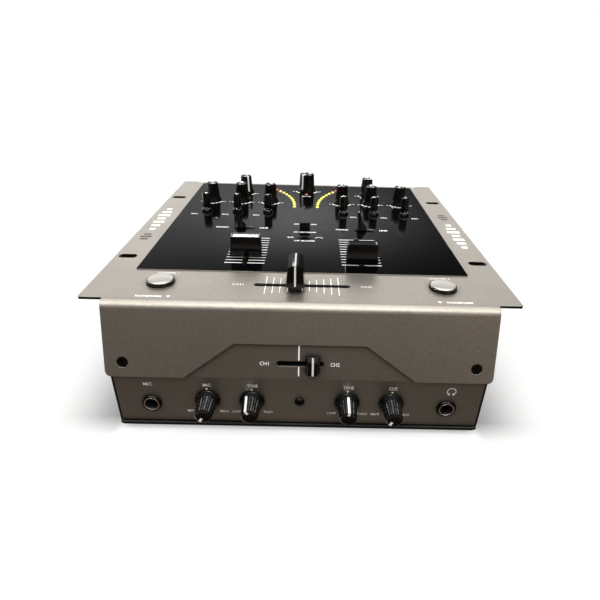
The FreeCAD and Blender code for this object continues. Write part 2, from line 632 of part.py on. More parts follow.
def slide_housing(x, y, outside, chamber, throat):
    """Housing under the plate; (half_x, half_y) of each part."""
    housing = block_z(x, y, *outside, SWITCH_BOTTOM, -1.65)
    return housing.cut([block_z(x, y, *chamber, -9.4, -6.8), block_z(x, y, *throat, -7, 0)])


def reverse_switch():
    cap = fillet(loft([(4.1, 2.0, 0.9), (3.8, 1.5, 7.4)], REVERSE_REST), 0.5, above(7))
    stem = slide_stem(0, REVERSE_REST, (2.0, 0.9), 0.95, (3.2, 2.2))
    return cap.fuse(stem).removeSplitter()


def slope_switch():
    cap = fillet(block_z(SLOPE_X, SLOPE_Y, 2.6, 1.7, -1.2, 1.6), 0.35, above(1.5))
    for i in (-1, 0, 1):                 # grip grooves
        cap = cap.cut(block_z(SLOPE_X + i * 1.3, SLOPE_Y, 0.25, 3, 1.15, 3))
    stem = slide_stem(SLOPE_X, SLOPE_Y, (0.9, 1.2), -1.1, (2.4, 2.6))
    return cap.fuse(stem).removeSplitter()


# ---- transform buttons ------------------------------------------------------------------
def transform_button(x):
    """Button body and the domed cap on it."""
    base = vec(x, BUTTON_Y, 0)
    body = turned([(0, 1.9), (BUTTON_R - 0.35, 1.9), (BUTTON_R, 1.55), (BUTTON_R, -2.4),
                   (BUTTON_R + 1.6, -2.4), (BUTTON_R + 1.6, -3.4), (2.0, -3.4), (2.0, -7.0),
                   (0, -7.0)], base)
    cap = turned([(0, 3.2), (3.0, 3.08), (5.6, 2.78), (7.0, 2.45), (7.5, 2.2), (7.7, 1.92),
                  (0, 1.92)], base)
    return [body, cap]


def button_switch(x):
    """Switch under the button, on a bracket hung from the plate."""
    body = block_z(x, BUTTON_Y, 6, 6, -13.0, -8.7)
    stud = cyl(3.2, -8.75, -8.62, x, BUTTON_Y)
    bracket = block_z(x, BUTTON_Y, 13, 7, -14.2, -13.0)
    for offset in (-12.4, 12.4):
        bracket = bracket.fuse(block_z(x + offset, BUTTON_Y, 0.6, 7, -13.2, HOUSING_TOP))
    return body.fuse([stud, bracket]).removeSplitter()


def switch_bodies():
    bodies = [kill_body(x, y) for x, y in KILL_SPOTS]
    for side in (-1, 1):
        bodies += lever_housing(side * LEVER_X)
    bodies.append(slide_housing(0, REVERSE_Y, (6.0, REVERSE_HALF + 5.5),
                                (4.6, REVERSE_HALF + 2.6), (2.4, REVERSE_HALF + 1.4)))
    bodies.append(slide_housing(SLOPE_X, SLOPE_Y, (9.5, 4.6), (6.6, 3.2), (4.2, 1.6)))
    return bodies + [button_switch(side * BUTTON_X) for side in (-1, 1)]


for name, side in SIDES:
    save("transform_lever_" + name, transform_lever(side * LEVER_X))
    save("transform_button_" + name, *transform_button(side * BUTTON_X))
save("reverse_switch", reverse_switch())
save("slope_switch", slope_switch())
save("switch_bodies", *switch_bodies())

# ---- faders, all drawn along X around the origin ----------------------------------------
CARRIAGE_Z = -8.0                        # foot of the stem
LINE_FOOT, CROSS_FOOT = 1.5, 3.6         # undersides of the caps
# Guide rods of a fader: radius, distance either side of the middle, height
FADER_RAIL = (0.8, 2.3, CARRIAGE_Z - 0.7)
CUE_RAIL = (0.7, 2.1, -6.8)


def guide_rods(rail, half, clearance=0.0):
    radius, offset, z = rail
    return [rod(radius + clearance, vec(-half, y, z), X, 2 * half) for y in (-offset, offset)]


def carriage(block, stem, rail):
    """Block running on the rods, with the stem that carries the cap."""
    return block.cut(guide_rods(rail, 60, 0.05)).fuse(stem).removeSplitter()


def frame(half, half_width, z0, z1, slot, rail):
    """Box frame with a top slot (length, width), and its two guide rods."""
    shell = box(-half, half, -half_width, half_width, z0, z1)
    shell = shell.cut(block_z(0, 0, half - 1.0, half_width - 0.9, z0 + 1.0, z1 - 0.9))
    shell = shell.cut(stadium(0, 0, *slot, z1 - 2, z1 + 1))
    rods = guide_rods(rail, half - 0.2)
    return [shell.cut(rods)] + rods


def placed(shapes, x, y, along="x"):
    """Moves shapes drawn along X to (x, y), turned first if they run along Y."""
    moved = []
    for shape in shapes:
        shape = spun(shape, ORIGIN, Z, 90 if along == "y" else 0)
        shape.translate(vec(x, y, 0))
        moved.append(shape)
    return moved


def line_cap():
    foot = LINE_FOOT
    cap = loft([(4.95, 10.7, foot), (3.9, 9.85, foot + 13.6)])
    return cap.cut(box(-2.9, 2.9, -8.9, 8.9, foot + 13.0, foot + 14.0))


def crossfader_cap():
    """Ridged cap with a neck below."""
    foot = CROSS_FOOT
    sections = [(5.4, 10.3, foot), (4.3, 9.6, foot + 12.4), (1.75, 9.4, foot + 13.6)]
    cap = loft(sections[:2]).fuse(loft(sections[1:])).removeSplitter()
    return cap.fuse(box(-4.0, 4.0, -8.4, 8.4, 0.7, foot + 0.1)).removeSplitter()


def fader(cap, foot):
    stem = block_z(0, 0, 2.0, 0.6, CARRIAGE_Z, foot + 9.0)
    block = block_z(0, 0, 4.5, 3.6, CARRIAGE_Z - 2.2, CARRIAGE_Z + 0.8)
    return [cap.cut(stem), carriage(block, stem, FADER_RAIL)]


def plate_frame(half, slot_length):
    return frame(half, 5.5, -13.0, HOUSING_TOP, (slot_length, 2.4), FADER_RAIL)


def cue_fader():
    cap = fillet(loft([(4.3, 5.6, 1.1), (3.9, 5.0, 3.0), (3.1, 4.2, 8.8)]), 0.5, above(8.7))
    stem = box(-1.6, 1.6, -0.6, 0.6, -6.2, 6.2)
    return [cap.cut(stem), carriage(box(-3.0, 3.0, -3.2, 3.2, -8.0, -5.6), stem, CUE_RAIL)]


frames = []
for name, side in SIDES:
    save("line_fader_" + name,
         *placed(fader(line_cap(), LINE_FOOT), side * LINE_X, LINE_REST[name], "y"))
    frames += placed(plate_frame(33.0, 52.0), side * LINE_X, LINE_MID, "y")
frames += placed(plate_frame(36.0, 55.0), 0, CROSS_Y)
save("crossfader", *placed(fader(crossfader_cap(), CROSS_FOOT), CROSS_REST, CROSS_Y))
save("fader_frames", *frames)

# The cue fader lies on the apron's slope, its frame behind the front panel
cue_frame = frame(20, 5, -10.4, -PANEL_T - 0.1, (27.0, 2.2), CUE_RAIL)
save("cue_fader", *[on_apron(shape, CUE_REST, CUE_DOWN, PANEL_OUT) for shape in cue_fader()])
save("cue_fader_frame", *[on_apron(shape, 0, CUE_DOWN, PANEL_OUT) for shape in cue_frame])


# ---- meter lamps ------------------------------------------------------------------------
def lamp(x, y):
    """Lens through the plate on a round stem down to the control board."""
    lens = turned([(0, 1.5), (0.7, 1.35), (1.15, 1.05), (1.45, 0.4), (1.45, -4.2), (0, -4.2)],
                  vec(x, y, 0))
    return lens.fuse(cyl(1.2, CONTROL_TOP + GAP, -4.2, x, y)).removeSplitter()


save("meter_lamps", *[lamp(x, y) for x, y in LEVEL_SPOTS])
save("peak_lamps", *[lamp(x, y) for x, y in PEAK_SPOTS])


# ---- front sockets, panel nuts and front board ------------------------------------------
def phone_socket(x):
    face = vec(x, FRONT_Y, JACK_Z)
    body = block_y(x, JACK_Z, 6.2, 6.2, FRONT_Y + PANEL_T + 0.05, FRONT_Y + 24)
    neck = rod(4.65, face - Y * 1.7, Y, 3.3)
    bore = rod(JACK_BORE_R, face - Y * 6, Y, 6 + JACK_DEPTH)
    lead_in = cone(JACK_BORE_R + 0.95, JACK_BORE_R, face - Y * (JACK_LEAD + 1.01), Y, 1.01)
    return body.fuse(neck).cut([bore, lead_in]).removeSplitter()


def socket_nut(x):
    return turned([(4.7, 0.05), (5.9, 0.05), (5.9, 0.9), (5.5, 1.4), (4.7, 1.4)],
                  vec(x, FRONT_Y, JACK_Z), FORWARD)


panel_nuts = []
for face, axis, thickness in POT_MOUNTS:
    panel_nuts += washer_and_nut(face + axis * GAP, axis)
panel_nuts += [socket_nut(side * JACK_X) for side in (-1, 1)]
save("phone_sockets", *[phone_socket(side * JACK_X) for side in (-1, 1)])
save("panel_nuts", *panel_nuts)
save("front_board", box(-78, 78, FRONT_BOARD_Y, FRONT_BOARD_Y + BOARD_T, -76.0, -46.0))

# ---- rear sockets -----------------------------------------------------------------------
# (radius, height out of the rear panel)
RCA_SHELL = [(3.55, -1.1), (4.5, -1.1), (4.5, 0.03), (6.0, 0.03), (6.0, 1.0), (4.15, 1.0),
             (4.15, 9.4), (3.75, 9.6), (3.55, 9.4)]
RCA_INSERT = [(1.6, 8.6), (3.5, 8.6), (3.5, -1.2), (4.5, -1.25), (4.5, -13.4), (0, -13.4),
              (0, -2.0), (1.6, -2.0)]
RCA_SPOTS = [vec(x, REAR_Y, z) for x in RCA_X for z in RCA_Z]

save("rca_shells", *[turned(RCA_SHELL, spot, Y) for spot in RCA_SPOTS])
save("rca_inserts", *[turned(RCA_INSERT, spot, Y) for spot in RCA_SPOTS])
save("rear_board", box(-103, 80, REAR_BOARD_Y, REAR_BOARD_Y + BOARD_T, -68, -16))

POST_BASE = vec(POST_X, REAR_Y, REAR_CTRL_Z)
INLET_BASE = vec(INLET_X, REAR_Y, REAR_CTRL_Z)


def ground_post():
    """Post, the nut inside the panel and the washer outside it."""
    post = turned([(0, -6.0), (2.1, -6.0), (2.1, 0.0), (2.1, 13.5), (1.7, 14.0), (0, 14.0)],
                  POST_BASE, Y)
    nut = hexagon(7.0, POST_BASE - Y * (PANEL_T + 2.6), Y, 2.5)
    nut = nut.cut(rod(2.12, POST_BASE - Y * 8, Y, 8))
    washer = turned([(2.15, 0.05), (5.2, 0.05), (5.2, 0.8), (2.15, 0.8)], POST_BASE, Y)
    return [post, nut, washer]


def ground_thumb_nut():
    return turned([(2.12, 3.2), (4.6, 3.2), (5.0, 3.7), (5.0, 9.6), (4.5, 10.2), (2.12, 10.2)],
                  POST_BASE, Y)


def power_inlet():
    """Barrel and flange, bored out around a centre pin."""
    flange = turned([(5.0, 0.05), (6.6, 0.05), (6.6, 1.4), (6.0, 2.0), (0, 2.0), (0, 0.05)],
                    INLET_BASE, Y)
    inlet = rod(5.0, INLET_BASE - Y * 12, Y, 12.0).fuse(flange)
    bore_start = INLET_BASE - Y * 9
    inlet = inlet.cut(rod(2.85, bore_start, Y, 14))
    return inlet.fuse(rod(1.05, bore_start, Y, 9.0)).removeSplitter()


save("ground_post", *ground_post())
save("ground_thumb_nut", ground_thumb_nut())
save("power_inlet", power_inlet())

# ---- power switch -----------------------------------------------------------------------
ROCKER_AXIS_Y = REAR_Y - 4.0
# Rocker's side outline: (y from the panel's outer face, z from the switch's centre)
ROCKER = [(2.6, 0), (4.3, 7.3), (-1.6, 7.7), (-5.6, 2.6), (-5.6, -2.6), (-1.6, -7.7), (4.3, -7.3)]


def power_switch_body():
    """Housing with its bezel, and the pin the rocker turns on."""
    housing = block_y(POWER_X, REAR_CTRL_Z, 6.5, 9.7, REAR_Y - 14, REAR_Y + 0.05)
    bezel = block_y(POWER_X, REAR_CTRL_Z, 8.0, 11.0, REAR_Y + 0.05, REAR_Y + 2.0)
    bezel = fillet(bezel, 0.8, lambda start, end: min(start.Y, end.Y) > REAR_Y + 1.9)
    hollow = block_y(POWER_X, REAR_CTRL_Z, 5.2, 8.6, REAR_Y - 9.5, REAR_Y + 4)
    housing = housing.fuse(bezel).cut(hollow).removeSplitter()
    pin = rod(0.9, vec(POWER_X - 6.2, ROCKER_AXIS_Y, REAR_CTRL_Z), X, 12.4)
    return [housing.cut(pin), pin]


def power_rocker():
    rocker = prism_x([(REAR_Y + y, REAR_CTRL_Z + z) for y, z in ROCKER],
                     POWER_X - 4.9, POWER_X + 4.9)
    rocker = rocker.cut(rod(0.95, vec(POWER_X - 8, ROCKER_AXIS_Y, REAR_CTRL_Z), X, 16))
    return spun(rocker, vec(POWER_X, ROCKER_AXIS_Y, REAR_CTRL_Z), X, 8)


save("power_switch_body", *power_switch_body())
save("power_rocker", power_rocker())

# ---- main board, stand-offs and components ----------------------------------------------
CONTROL_STANDS = [(-98, 134), (98, 134), (-98, 231), (98, 231), (-17, 89), (17, 89)]
# Upright cylinders on the main board: x, y, radius, height
CANS = [(70, 190, 6.4, 20), (52, 192, 6.4, 20), (72, 168, 5.0, 14), (56, 170, 5.0, 14),
        (-20, 196, 4.0, 11), (-34, 196, 4.0, 11), (-70, 60, 3.2, 9), (-56, 60, 3.2, 9),
        (40, 60, 3.2, 9), (60, 60, 3.2, 9)]


def standoffs():
    floor = CASE_BOTTOM + TRAY_T + GAP
    stands = []
    for x, y in STAND_SPOTS:
        stand = hexagon(6.0, vec(x, y, floor), Z, MAIN_BOTTOM - GAP - floor)
        stands.append(stand.cut(cyl(1.55, CASE_BOTTOM, MAIN_BOTTOM + 1, x, y)))
    height = -COVER_T - 2 * GAP - CONTROL_TOP
    stands += [hexagon(5.5, vec(x, y, CONTROL_TOP + GAP), Z, height) for x, y in CONTROL_STANDS]
    return stands


def can(x, y, radius, height, z):
    """Cylinder standing on z with a rounded top rim."""
    shape = cyl(radius, z, z + height, x, y)
    rim = [edge for edge in shape.Edges if abs(edge.BoundBox.ZMax - (z + height)) < 1e-6
           and abs(edge.BoundBox.ZMin - (z + height)) < 1e-6]
    return shape.makeFillet(0.6, rim)


def board_components():
    z = MAIN_TOP + GAP
    parts = [can(*row, z) for row in CANS]
    for i in range(5):                   # flat blocks in two rows
        for j in range(2):
            parts.append(box(-75 + i * 28, -65 + i * 28, 92 + j * 34, 111 + j * 34, z, z + 3.6))
    grooves = [box(82, 90, 141.5 + 3.2 * k, 143.1 + 3.2 * k, z + 3, z + 30) for k in range(5)]
    parts.append(box(80, 92, 140, 158, z, z + 22).cut(grooves))
    return parts


save("main_board", box(-95, 95, 22, 214, MAIN_BOTTOM, MAIN_TOP))
save("standoffs", *standoffs())
save("board_components", *board_components())

# ---- ribbon cables, each ending over a connector on the main board ----------------------
RIBBON_T = 0.9
RIBBON_END_Z = MAIN_TOP + 6.1
UNDER_Z = CONTROL_BOTTOM - 5.1           # ribbon start below the control board
UNDER_PLUG = (147, 153, CONTROL_BOTTOM - 5.0, CONTROL_BOTTOM - GAP)
# x range, start (y, z), end y, bow along Y, and the first connector (y0, y1, z0, z1)
CABLES = [
    (-46, -22, (150, UNDER_Z), 160, -14, UNDER_PLUG),
    (24, 44, (150, UNDER_Z), 156, 12, UNDER_PLUG),
    (-20, 4, (4.2, -60), 31, 4, (FRONT_BOARD_Y + BOARD_T + GAP, 3.7, -63, -57)),
    (-60, -40, (227, -58), 203, -3, (227.5, REAR_BOARD_Y - GAP, -61, -55))]


def bowed_line(y0, z0, y1, z1, bow, steps=12):
    """(y, z) points from start to end, bowed along Y by a half sine."""
    return [(y0 + (y1 - y0) * i / steps + bow * math.sin(math.pi * i / steps),
             z0 + (z1 - z0) * i / steps) for i in range(steps + 1)]


def ribbon(x0, x1, points):
    """Flat cable: a line of (y, z) points, thickened and extruded along X."""
    left, right = [], []
    for i, (y, z) in enumerate(points):
        before = points[max(i - 1, 0)]
        after = points[min(i + 1, len(points) - 1)]
        dy, dz = after[0] - before[0], after[1] - before[1]
        length = math.hypot(dy, dz)
        side_y, side_z = -dz / length * RIBBON_T / 2, dy / length * RIBBON_T / 2
        left.append((y + side_y, z + side_z))
        right.append((y - side_y, z - side_z))
    return prism_x(left + right[::-1], x0, x1)


ribbons, connectors = [], []
for x0, x1, start, end_y, bow, first in CABLES:
    ribbons.append(ribbon(x0, x1, bowed_line(*start, end_y, RIBBON_END_Z, bow)))
    for plug in (first, (end_y - 3, end_y + 3, MAIN_TOP + GAP, MAIN_TOP + 6.0)):
        connectors.append(box(x0 - 1.5, x1 + 1.5, *plug))
save("ribbon_cables", *ribbons)
save("cable_connectors", *connectors)
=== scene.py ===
"""A two-channel mixer: detailed controls, prints and finishes over its CAD pieces.

X runs to the right, Y to the back and Z up. Controls stand on the faceplate and on the
lower front panel. Lengths are millimetres from the faceplate's front edge and top face;
materials, lights and the floor are in metres.
"""
import json
import math
import random
from functools import reduce

import bpy
from mathutils import Matrix, Vector


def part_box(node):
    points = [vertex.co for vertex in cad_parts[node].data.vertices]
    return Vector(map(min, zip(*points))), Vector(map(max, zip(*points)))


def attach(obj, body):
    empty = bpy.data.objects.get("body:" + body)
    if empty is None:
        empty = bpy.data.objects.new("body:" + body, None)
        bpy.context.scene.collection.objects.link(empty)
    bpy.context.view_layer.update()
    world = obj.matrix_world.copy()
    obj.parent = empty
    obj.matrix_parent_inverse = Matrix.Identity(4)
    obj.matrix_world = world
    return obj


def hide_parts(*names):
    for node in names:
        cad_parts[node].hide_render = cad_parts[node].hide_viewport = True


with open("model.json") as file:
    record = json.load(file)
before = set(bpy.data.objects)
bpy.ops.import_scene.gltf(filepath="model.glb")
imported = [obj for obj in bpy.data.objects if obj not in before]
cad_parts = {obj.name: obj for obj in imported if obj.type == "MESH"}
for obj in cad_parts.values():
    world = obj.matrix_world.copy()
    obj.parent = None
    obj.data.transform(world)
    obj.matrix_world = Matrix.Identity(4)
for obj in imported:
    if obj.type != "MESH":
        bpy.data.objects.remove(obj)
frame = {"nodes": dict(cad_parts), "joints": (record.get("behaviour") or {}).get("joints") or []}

random.seed(7)
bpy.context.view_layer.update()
scene = bpy.context.scene
nodes = frame["nodes"]
joints = {joint["child"]: joint for joint in frame["joints"]}
MM = 0.001
SIDES = (-1, 1)                          # left, right

# ---- datum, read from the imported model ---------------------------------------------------
overlay_lo, overlay_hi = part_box("fascia_overlay")
PLATE_Z = overlay_lo.z                   # faceplate's top face
OVERLAY_THICK = (overlay_hi.z - overlay_lo.z) / MM
FRONT_Y = overlay_lo.y - 36.9 * MM       # faceplate's front edge
PANEL_Y = joints["mic_level_knob"]["pos_m"][1]   # outer face of the lower front panel
EYE = (3.85, -224.18, 127.38)            # camera's place


def at(x, y, z=0.0):
    """Millimetres on the faceplate to metres in the frame."""
    return Vector((x * MM, FRONT_Y + y * MM, PLATE_Z + z * MM))


# The apron slopes down and forward from a bend at the faceplate's front edge.
APRON_TILT = math.radians(16.0)
BEND_RADIUS = 5.5
BEND_ANGLE = math.pi / 2 - APRON_TILT
APRON_Y = -BEND_RADIUS * math.sin(BEND_ANGLE)
APRON_Z = -BEND_RADIUS + BEND_RADIUS * math.cos(BEND_ANGLE)
APRON_DOWN = Vector((0, -math.sin(APRON_TILT), -math.cos(APRON_TILT)))
APRON_OUT = Vector((0, -math.cos(APRON_TILT), math.sin(APRON_TILT)))
APRON_INSET = 1.55                       # inner sloped panel, behind the apron's face

# X, Y and Z axes of the parts that don't lie on the faceplate
APRON_AXES = ((1, 0, 0), tuple(-APRON_DOWN), tuple(APRON_OUT))
FRONT_AXES = ((1, 0, 0), (0, 0, 1), (0, -1, 0))
REAR_AXES = ((-1, 0, 0), (0, 0, 1), (0, 1, 0))


def on_apron(x, down, out):
    step = APRON_DOWN * down + APRON_OUT * out
    return at(x, APRON_Y + step.y, APRON_Z + step.z)


# ---- shader graphs -----------------------------------------------------------------------
class Graph:
    """Adds nodes to a shader tree. Values may be numbers, tuples or other nodes' outputs."""

    def __init__(self, tree):
        self.tree = tree
        tree.nodes.clear()

    def feed(self, socket, value):
        if isinstance(value, bpy.types.NodeSocket):
            self.tree.links.new(value, socket)
        elif socket.type == "RGBA":
            socket.default_value = (*value, 1.0)
        else:
            socket.default_value = value

    def node(self, kind, inputs=(), **settings):
        node = self.tree.nodes.new("ShaderNode" + kind)
        for key, value in settings.items():
            setattr(node, key, value)
        for key, value in dict(inputs).items():
            self.feed(node.inputs[key], value)
        return node

    def math(self, operation, first, second=None, clamp=False):
        inputs = {0: first}
        if second is not None:
            inputs[1] = second
        return self.node("Math", inputs, operation=operation, use_clamp=clamp).outputs[0]

    def multiply(self, *factors):
        return reduce(lambda a, b: self.math("MULTIPLY", a, b), factors)

    def vector(self, operation, inputs):
        return self.node("VectorMath", inputs, operation=operation).outputs

    def split(self, vector):
        return self.node("SeparateXYZ", {"Vector": vector}).outputs

    def remap(self, value, span, to=(0.0, 1.0)):
        inputs = {"Value": value, "From Min": span[0], "From Max": span[1],
                  "To Min": to[0], "To Max": to[1]}
        return self.node("MapRange", inputs).outputs["Result"]

    def mix(self, factor, first, second, blend="MIX"):
        inputs = {"Factor": factor, 6: first, 7: second}
        return self.node("Mix", inputs, data_type="RGBA", blend_type=blend).outputs[2]


class Material(Graph):
    """A principled material in object coordinates."""

    def __init__(self, name):
        self.data = bpy.data.materials.new(name)
        self.data.use_nodes = True
        super().__init__(self.data.node_tree)
        self.output = self.node("OutputMaterial")
        self.bsdf = self.node("BsdfPrincipled")
        self.feed(self.output.inputs["Surface"], self.bsdf.outputs["BSDF"])
        self.coord = self.node("TexCoord").outputs["Object"]

    def set(self, **inputs):
        """Sets surface inputs; an underscore stands for a space in the input's name."""
        for key, value in inputs.items():
            self.feed(self.bsdf.inputs[key.replace("_", " ")], value)

    def present(self, name):
        """The output that feeds a surface input now."""
        return self.bsdf.inputs[name].links[0].from_socket

    def recolour(self, mask, colour):
        self.set(Base_Color=self.mix(mask, self.present("Base Color"), colour))

    def noise(self, scale, detail=3.0, rough=0.55, stretch=None):
        coord = self.coord
        if stretch:
            coord = self.node("Mapping", {"Scale": stretch, "Vector": coord}).outputs["Vector"]
        inputs = {"Scale": scale, "Detail": detail, "Roughness": rough, "Vector": coord}
        return self.node("TexNoise", inputs).outputs["Fac"]

    def geometry(self):
        return self.node("NewGeometry").outputs

    def bevel(self, radius):
        return self.node("Bevel", {"Radius": radius}, samples=4).outputs["Normal"]

    def edges(self, radius):
        """1 near sharp edges, 0 on open faces."""
        inputs = {0: self.bevel(radius), 1: self.geometry()["Normal"]}
        return self.remap(self.vector("DOT_PRODUCT", inputs)["Value"], (0.995, 0.90))

    def bump(self, height, strength, distance, normal=None):
        inputs = {"Strength": strength, "Distance": distance, "Height": height}
        if normal is not None:
            inputs["Normal"] = normal
        return self.node("Bump", inputs).outputs["Normal"]

    def uneven(self, cloud, fine, rough, swing, span=(0.25, 0.75)):
        """Roughness over the rough range with the cloud, give or take swing with the grain."""
        broad = self.remap(cloud, span, to=rough)
        grain = self.remap(fine, (0.2, 0.8), to=(-swing, swing))
        return self.math("ADD", broad, grain, clamp=True)

    def below(self, axis, value, soft=0.00005):
        """1 where the object coordinate is below value."""
        return self.remap(self.split(self.coord)[axis], (value - soft, value + soft),
                          to=(1.0, 0.0))


def lighter(colour, factor):
    return tuple(min(1.0, part * factor) for part in colour)


# ---- families of material ----------------------------------------------------------------
def plastic(name, colour, rough=0.42, grain=2600, depth=0.00002, vary=0.25, edge=0.25,
            spec=0.5, dust=0.05):
    """Clouded colour with grain of the given depth, paler edges and specks of dust."""
    bevel_radius = 0.00025
    mat = Material(name)
    cloud = mat.noise(scale=70, detail=4)
    fine = mat.noise(scale=grain, detail=2, rough=0.6)
    base = mat.mix(mat.remap(cloud, (0.3, 0.7)),
                   lighter(colour, 1 - vary), lighter(colour, 1 + vary))
    worn = tuple(min(1.0, part * 1.8 + 0.05) for part in colour)
    base = mat.mix(mat.multiply(mat.edges(bevel_radius * 1.6), edge), base, worn)
    specks = mat.remap(mat.noise(scale=900, detail=1, rough=0.4), (0.70, 0.82), to=(0.0, dust))
    mat.set(Base_Color=mat.mix(specks, base, (0.45, 0.44, 0.42)),
            Roughness=mat.uneven(cloud, fine, rough=(rough - 0.05, rough + 0.07), swing=0.04),
            Normal=mat.bump(fine, strength=0.5, distance=depth,
                            normal=mat.bevel(bevel_radius)),
            Coat_Roughness=0.12,
            Specular_IOR_Level=spec)
    return mat


def metal(name, colour, rough=0.3, vary=0.15, brushed=None, tarnish=0.2):
    mat = Material(name)
    cloud = mat.noise(scale=140, detail=4, rough=0.6)
    fine = mat.noise(scale=2200, detail=2, rough=0.6, stretch=brushed)
    base = mat.mix(mat.remap(cloud, (0.3, 0.75)),
                   lighter(colour, 1 + vary), lighter(colour, 1 - vary))
    stains = mat.remap(mat.noise(scale=500, detail=2), (0.62, 0.8), to=(0.0, tarnish))
    mat.set(Metallic=1.0,
            Base_Color=mat.mix(stains, base, lighter(colour, 0.35)),
            Roughness=mat.uneven(cloud, fine, rough=(rough - 0.05, rough + 0.08), swing=0.05),
            Normal=mat.bump(fine, strength=0.5, distance=0.000008,
                            normal=mat.bevel(0.0002)))
    return mat


def ink(name, colour, rough=0.5, glow=0.0):
    """Screen print: slightly uneven coverage; glow adds painted brightness."""
    mat = Material(name)
    cover = mat.noise(scale=1800, detail=3, rough=0.7)
    mat.set(Base_Color=mat.mix(mat.remap(cover, (0.3, 0.75)), colour, lighter(colour, 0.82)),
            Roughness=mat.remap(cover, (0.2, 0.8), to=(rough - 0.08, rough + 0.1)),
            Normal=mat.bump(cover, strength=0.3, distance=0.00001),
            # painted brightness: glow makes the print lighter than the light alone would
            Emission_Color=colour,
            Emission_Strength=glow)
    return mat


def lamp(name, colour, glow, strength):
    """A lit lens that dims towards its outline."""
    mat = Material(name)
    cloud = mat.noise(scale=900)
    facing = mat.node("LayerWeight", {"Blend": 0.35}).outputs["Facing"]
    core = mat.remap(facing, (0.0, 0.7), to=(1.0, 0.25))
    hot = tuple(min(1.0, part * 1.15 + 0.12) for part in glow)
    mat.set(Base_Color=mat.mix(mat.remap(cloud, (0.3, 0.7)), lighter(colour, 0.9), colour),
            Emission_Color=mat.mix(core, glow, hot),
            Emission_Strength=mat.multiply(core, strength),
            Roughness=mat.remap(cloud, (0.2, 0.8), to=(0.18, 0.3)),
            Normal=mat.bump(cloud, strength=0.2, distance=0.00001))
    return mat


# ---- single materials --------------------------------------------------------------------
def cover_paint():
    """Warm grey metallic lacquer with fine flake, on the folded cover."""
    colour = (0.352, 0.327, 0.290)
    mat = Material("titanium_paint")
    flake = mat.node("TexVoronoi", {"Scale": 2900, "Vector": mat.coord}).outputs["Color"]
    fine = mat.noise(scale=3000, detail=2, rough=0.7)
    cloud = mat.noise(scale=26, detail=4, rough=0.6)
    flake_red = mat.node("SeparateColor", {0: flake}).outputs[0]
    base = mat.mix(mat.remap(flake_red, (0.0, 1.0)), lighter(colour, 0.88), lighter(colour, 1.12))
    base = mat.mix(mat.remap(cloud, (0.35, 0.7), to=(0.0, 0.5)), base, lighter(colour, 0.9))
    # painted highlight: the cover's sharp edges are made lighter, as if catching light
    base = mat.mix(mat.multiply(mat.edges(0.0004), 0.35), base, lighter(colour, 1.5))
    # corners and crevices gather shade
    shade = mat.node("AmbientOcclusion", {"Distance": 0.0045}, samples=6).outputs["AO"]
    base = mat.mix(mat.remap(shade, (0.45, 0.97)), lighter(colour, 0.30), base)
    # painted shade: the sheet's front edge faces, near its left and right ends, are darkened as
    # if in shadow
    geometry = mat.geometry()
    normal = mat.split(geometry["True Normal"])
    position = mat.split(geometry["Position"])
    shaded_edge = mat.multiply(
        mat.math("LESS_THAN", normal["Y"], -0.75),
        mat.math("GREATER_THAN", mat.math("ABSOLUTE", position["X"]), 0.1135),
        mat.math("GREATER_THAN", position["Z"], PLATE_Z - 0.0016))
    # each flake tips the light its own way
    tip = mat.vector("SUBTRACT", {0: flake, 1: (0.5, 0.5, 0.5)})[0]
    tip = mat.vector("SCALE", {0: tip, "Scale": 0.10})[0]
    tipped = mat.vector("ADD", {0: mat.bevel(0.0005), 1: tip})[0]
    tipped = mat.vector("NORMALIZE", {0: tipped})[0]
    # painted shade: near-black on those front edge faces
    mat.set(Base_Color=mat.mix(shaded_edge, base, (0.004, 0.004, 0.004)),
            Metallic=0.88,
            Roughness=mat.uneven(cloud, fine, rough=(0.40, 0.45), swing=0.05, span=(0.3, 0.7)),
            Normal=mat.bump(fine, strength=0.25, distance=0.000012, normal=tipped),
            Coat_Weight=0.12,
            Coat_Roughness=0.35)
    return mat


def overlay_gloss():
    """Gloss black on the flat faces; the side faces are painted pale as a painted highlight."""
    mat = Material("fascia_gloss")
    cloud = mat.noise(scale=14, detail=4)
    smear = mat.noise(scale=240, detail=5, rough=0.65)
    up = mat.split(mat.geometry()["True Normal"])["Z"]
    specks = mat.remap(mat.noise(scale=1500, detail=1, rough=0.4), (0.74, 0.84), to=(0.0, 0.25))
    face = mat.mix(specks, (0.006, 0.006, 0.0065), (0.05, 0.05, 0.05))
    # painted highlight: the overlay's side faces are made pale
    side_highlight = mat.math("LESS_THAN", mat.math("ABSOLUTE", up), 0.5)
    mat.set(Base_Color=mat.mix(side_highlight, face, (0.85, 0.84, 0.80)),
            Roughness=mat.math("ADD", mat.remap(cloud, (0.3, 0.7), to=(0.11, 0.15)),
                               mat.remap(smear, (0.3, 0.8), to=(-0.02, 0.05)), clamp=True),
            Normal=mat.bump(smear, strength=0.15, distance=0.00001, normal=mat.bevel(0.0002)),
            Specular_IOR_Level=0.55)
    return mat


def pointer_white():
    mat = plastic("pointer_white", (0.86, 0.86, 0.84), rough=0.4, vary=0.05, edge=0.0, dust=0.02)
    # painted brightness: the white line glows a little, so it reads brighter than its light alone
    # makes it
    mat.set(Emission_Color=(0.9, 0.9, 0.88), Emission_Strength=0.45)
    return mat


def tray_paint():
    """Black powder paint, with a painted highlight on the front rim's upward face."""
    mat = plastic("black_powder_paint", (0.006, 0.006, 0.0065), rough=0.55, grain=1500,
                  depth=0.00006, spec=0.3, edge=0.12, dust=0.03)
    up = mat.split(mat.geometry()["True Normal"])["Z"]
    # painted highlight: upward faces at the front rim are made lighter, as if catching light
    lip_highlight = mat.multiply(mat.below("Y", at(0, -15.3).y), mat.math("GREATER_THAN", up, 0.7))
    mat.recolour(lip_highlight, (0.045, 0.043, 0.039))
    return mat


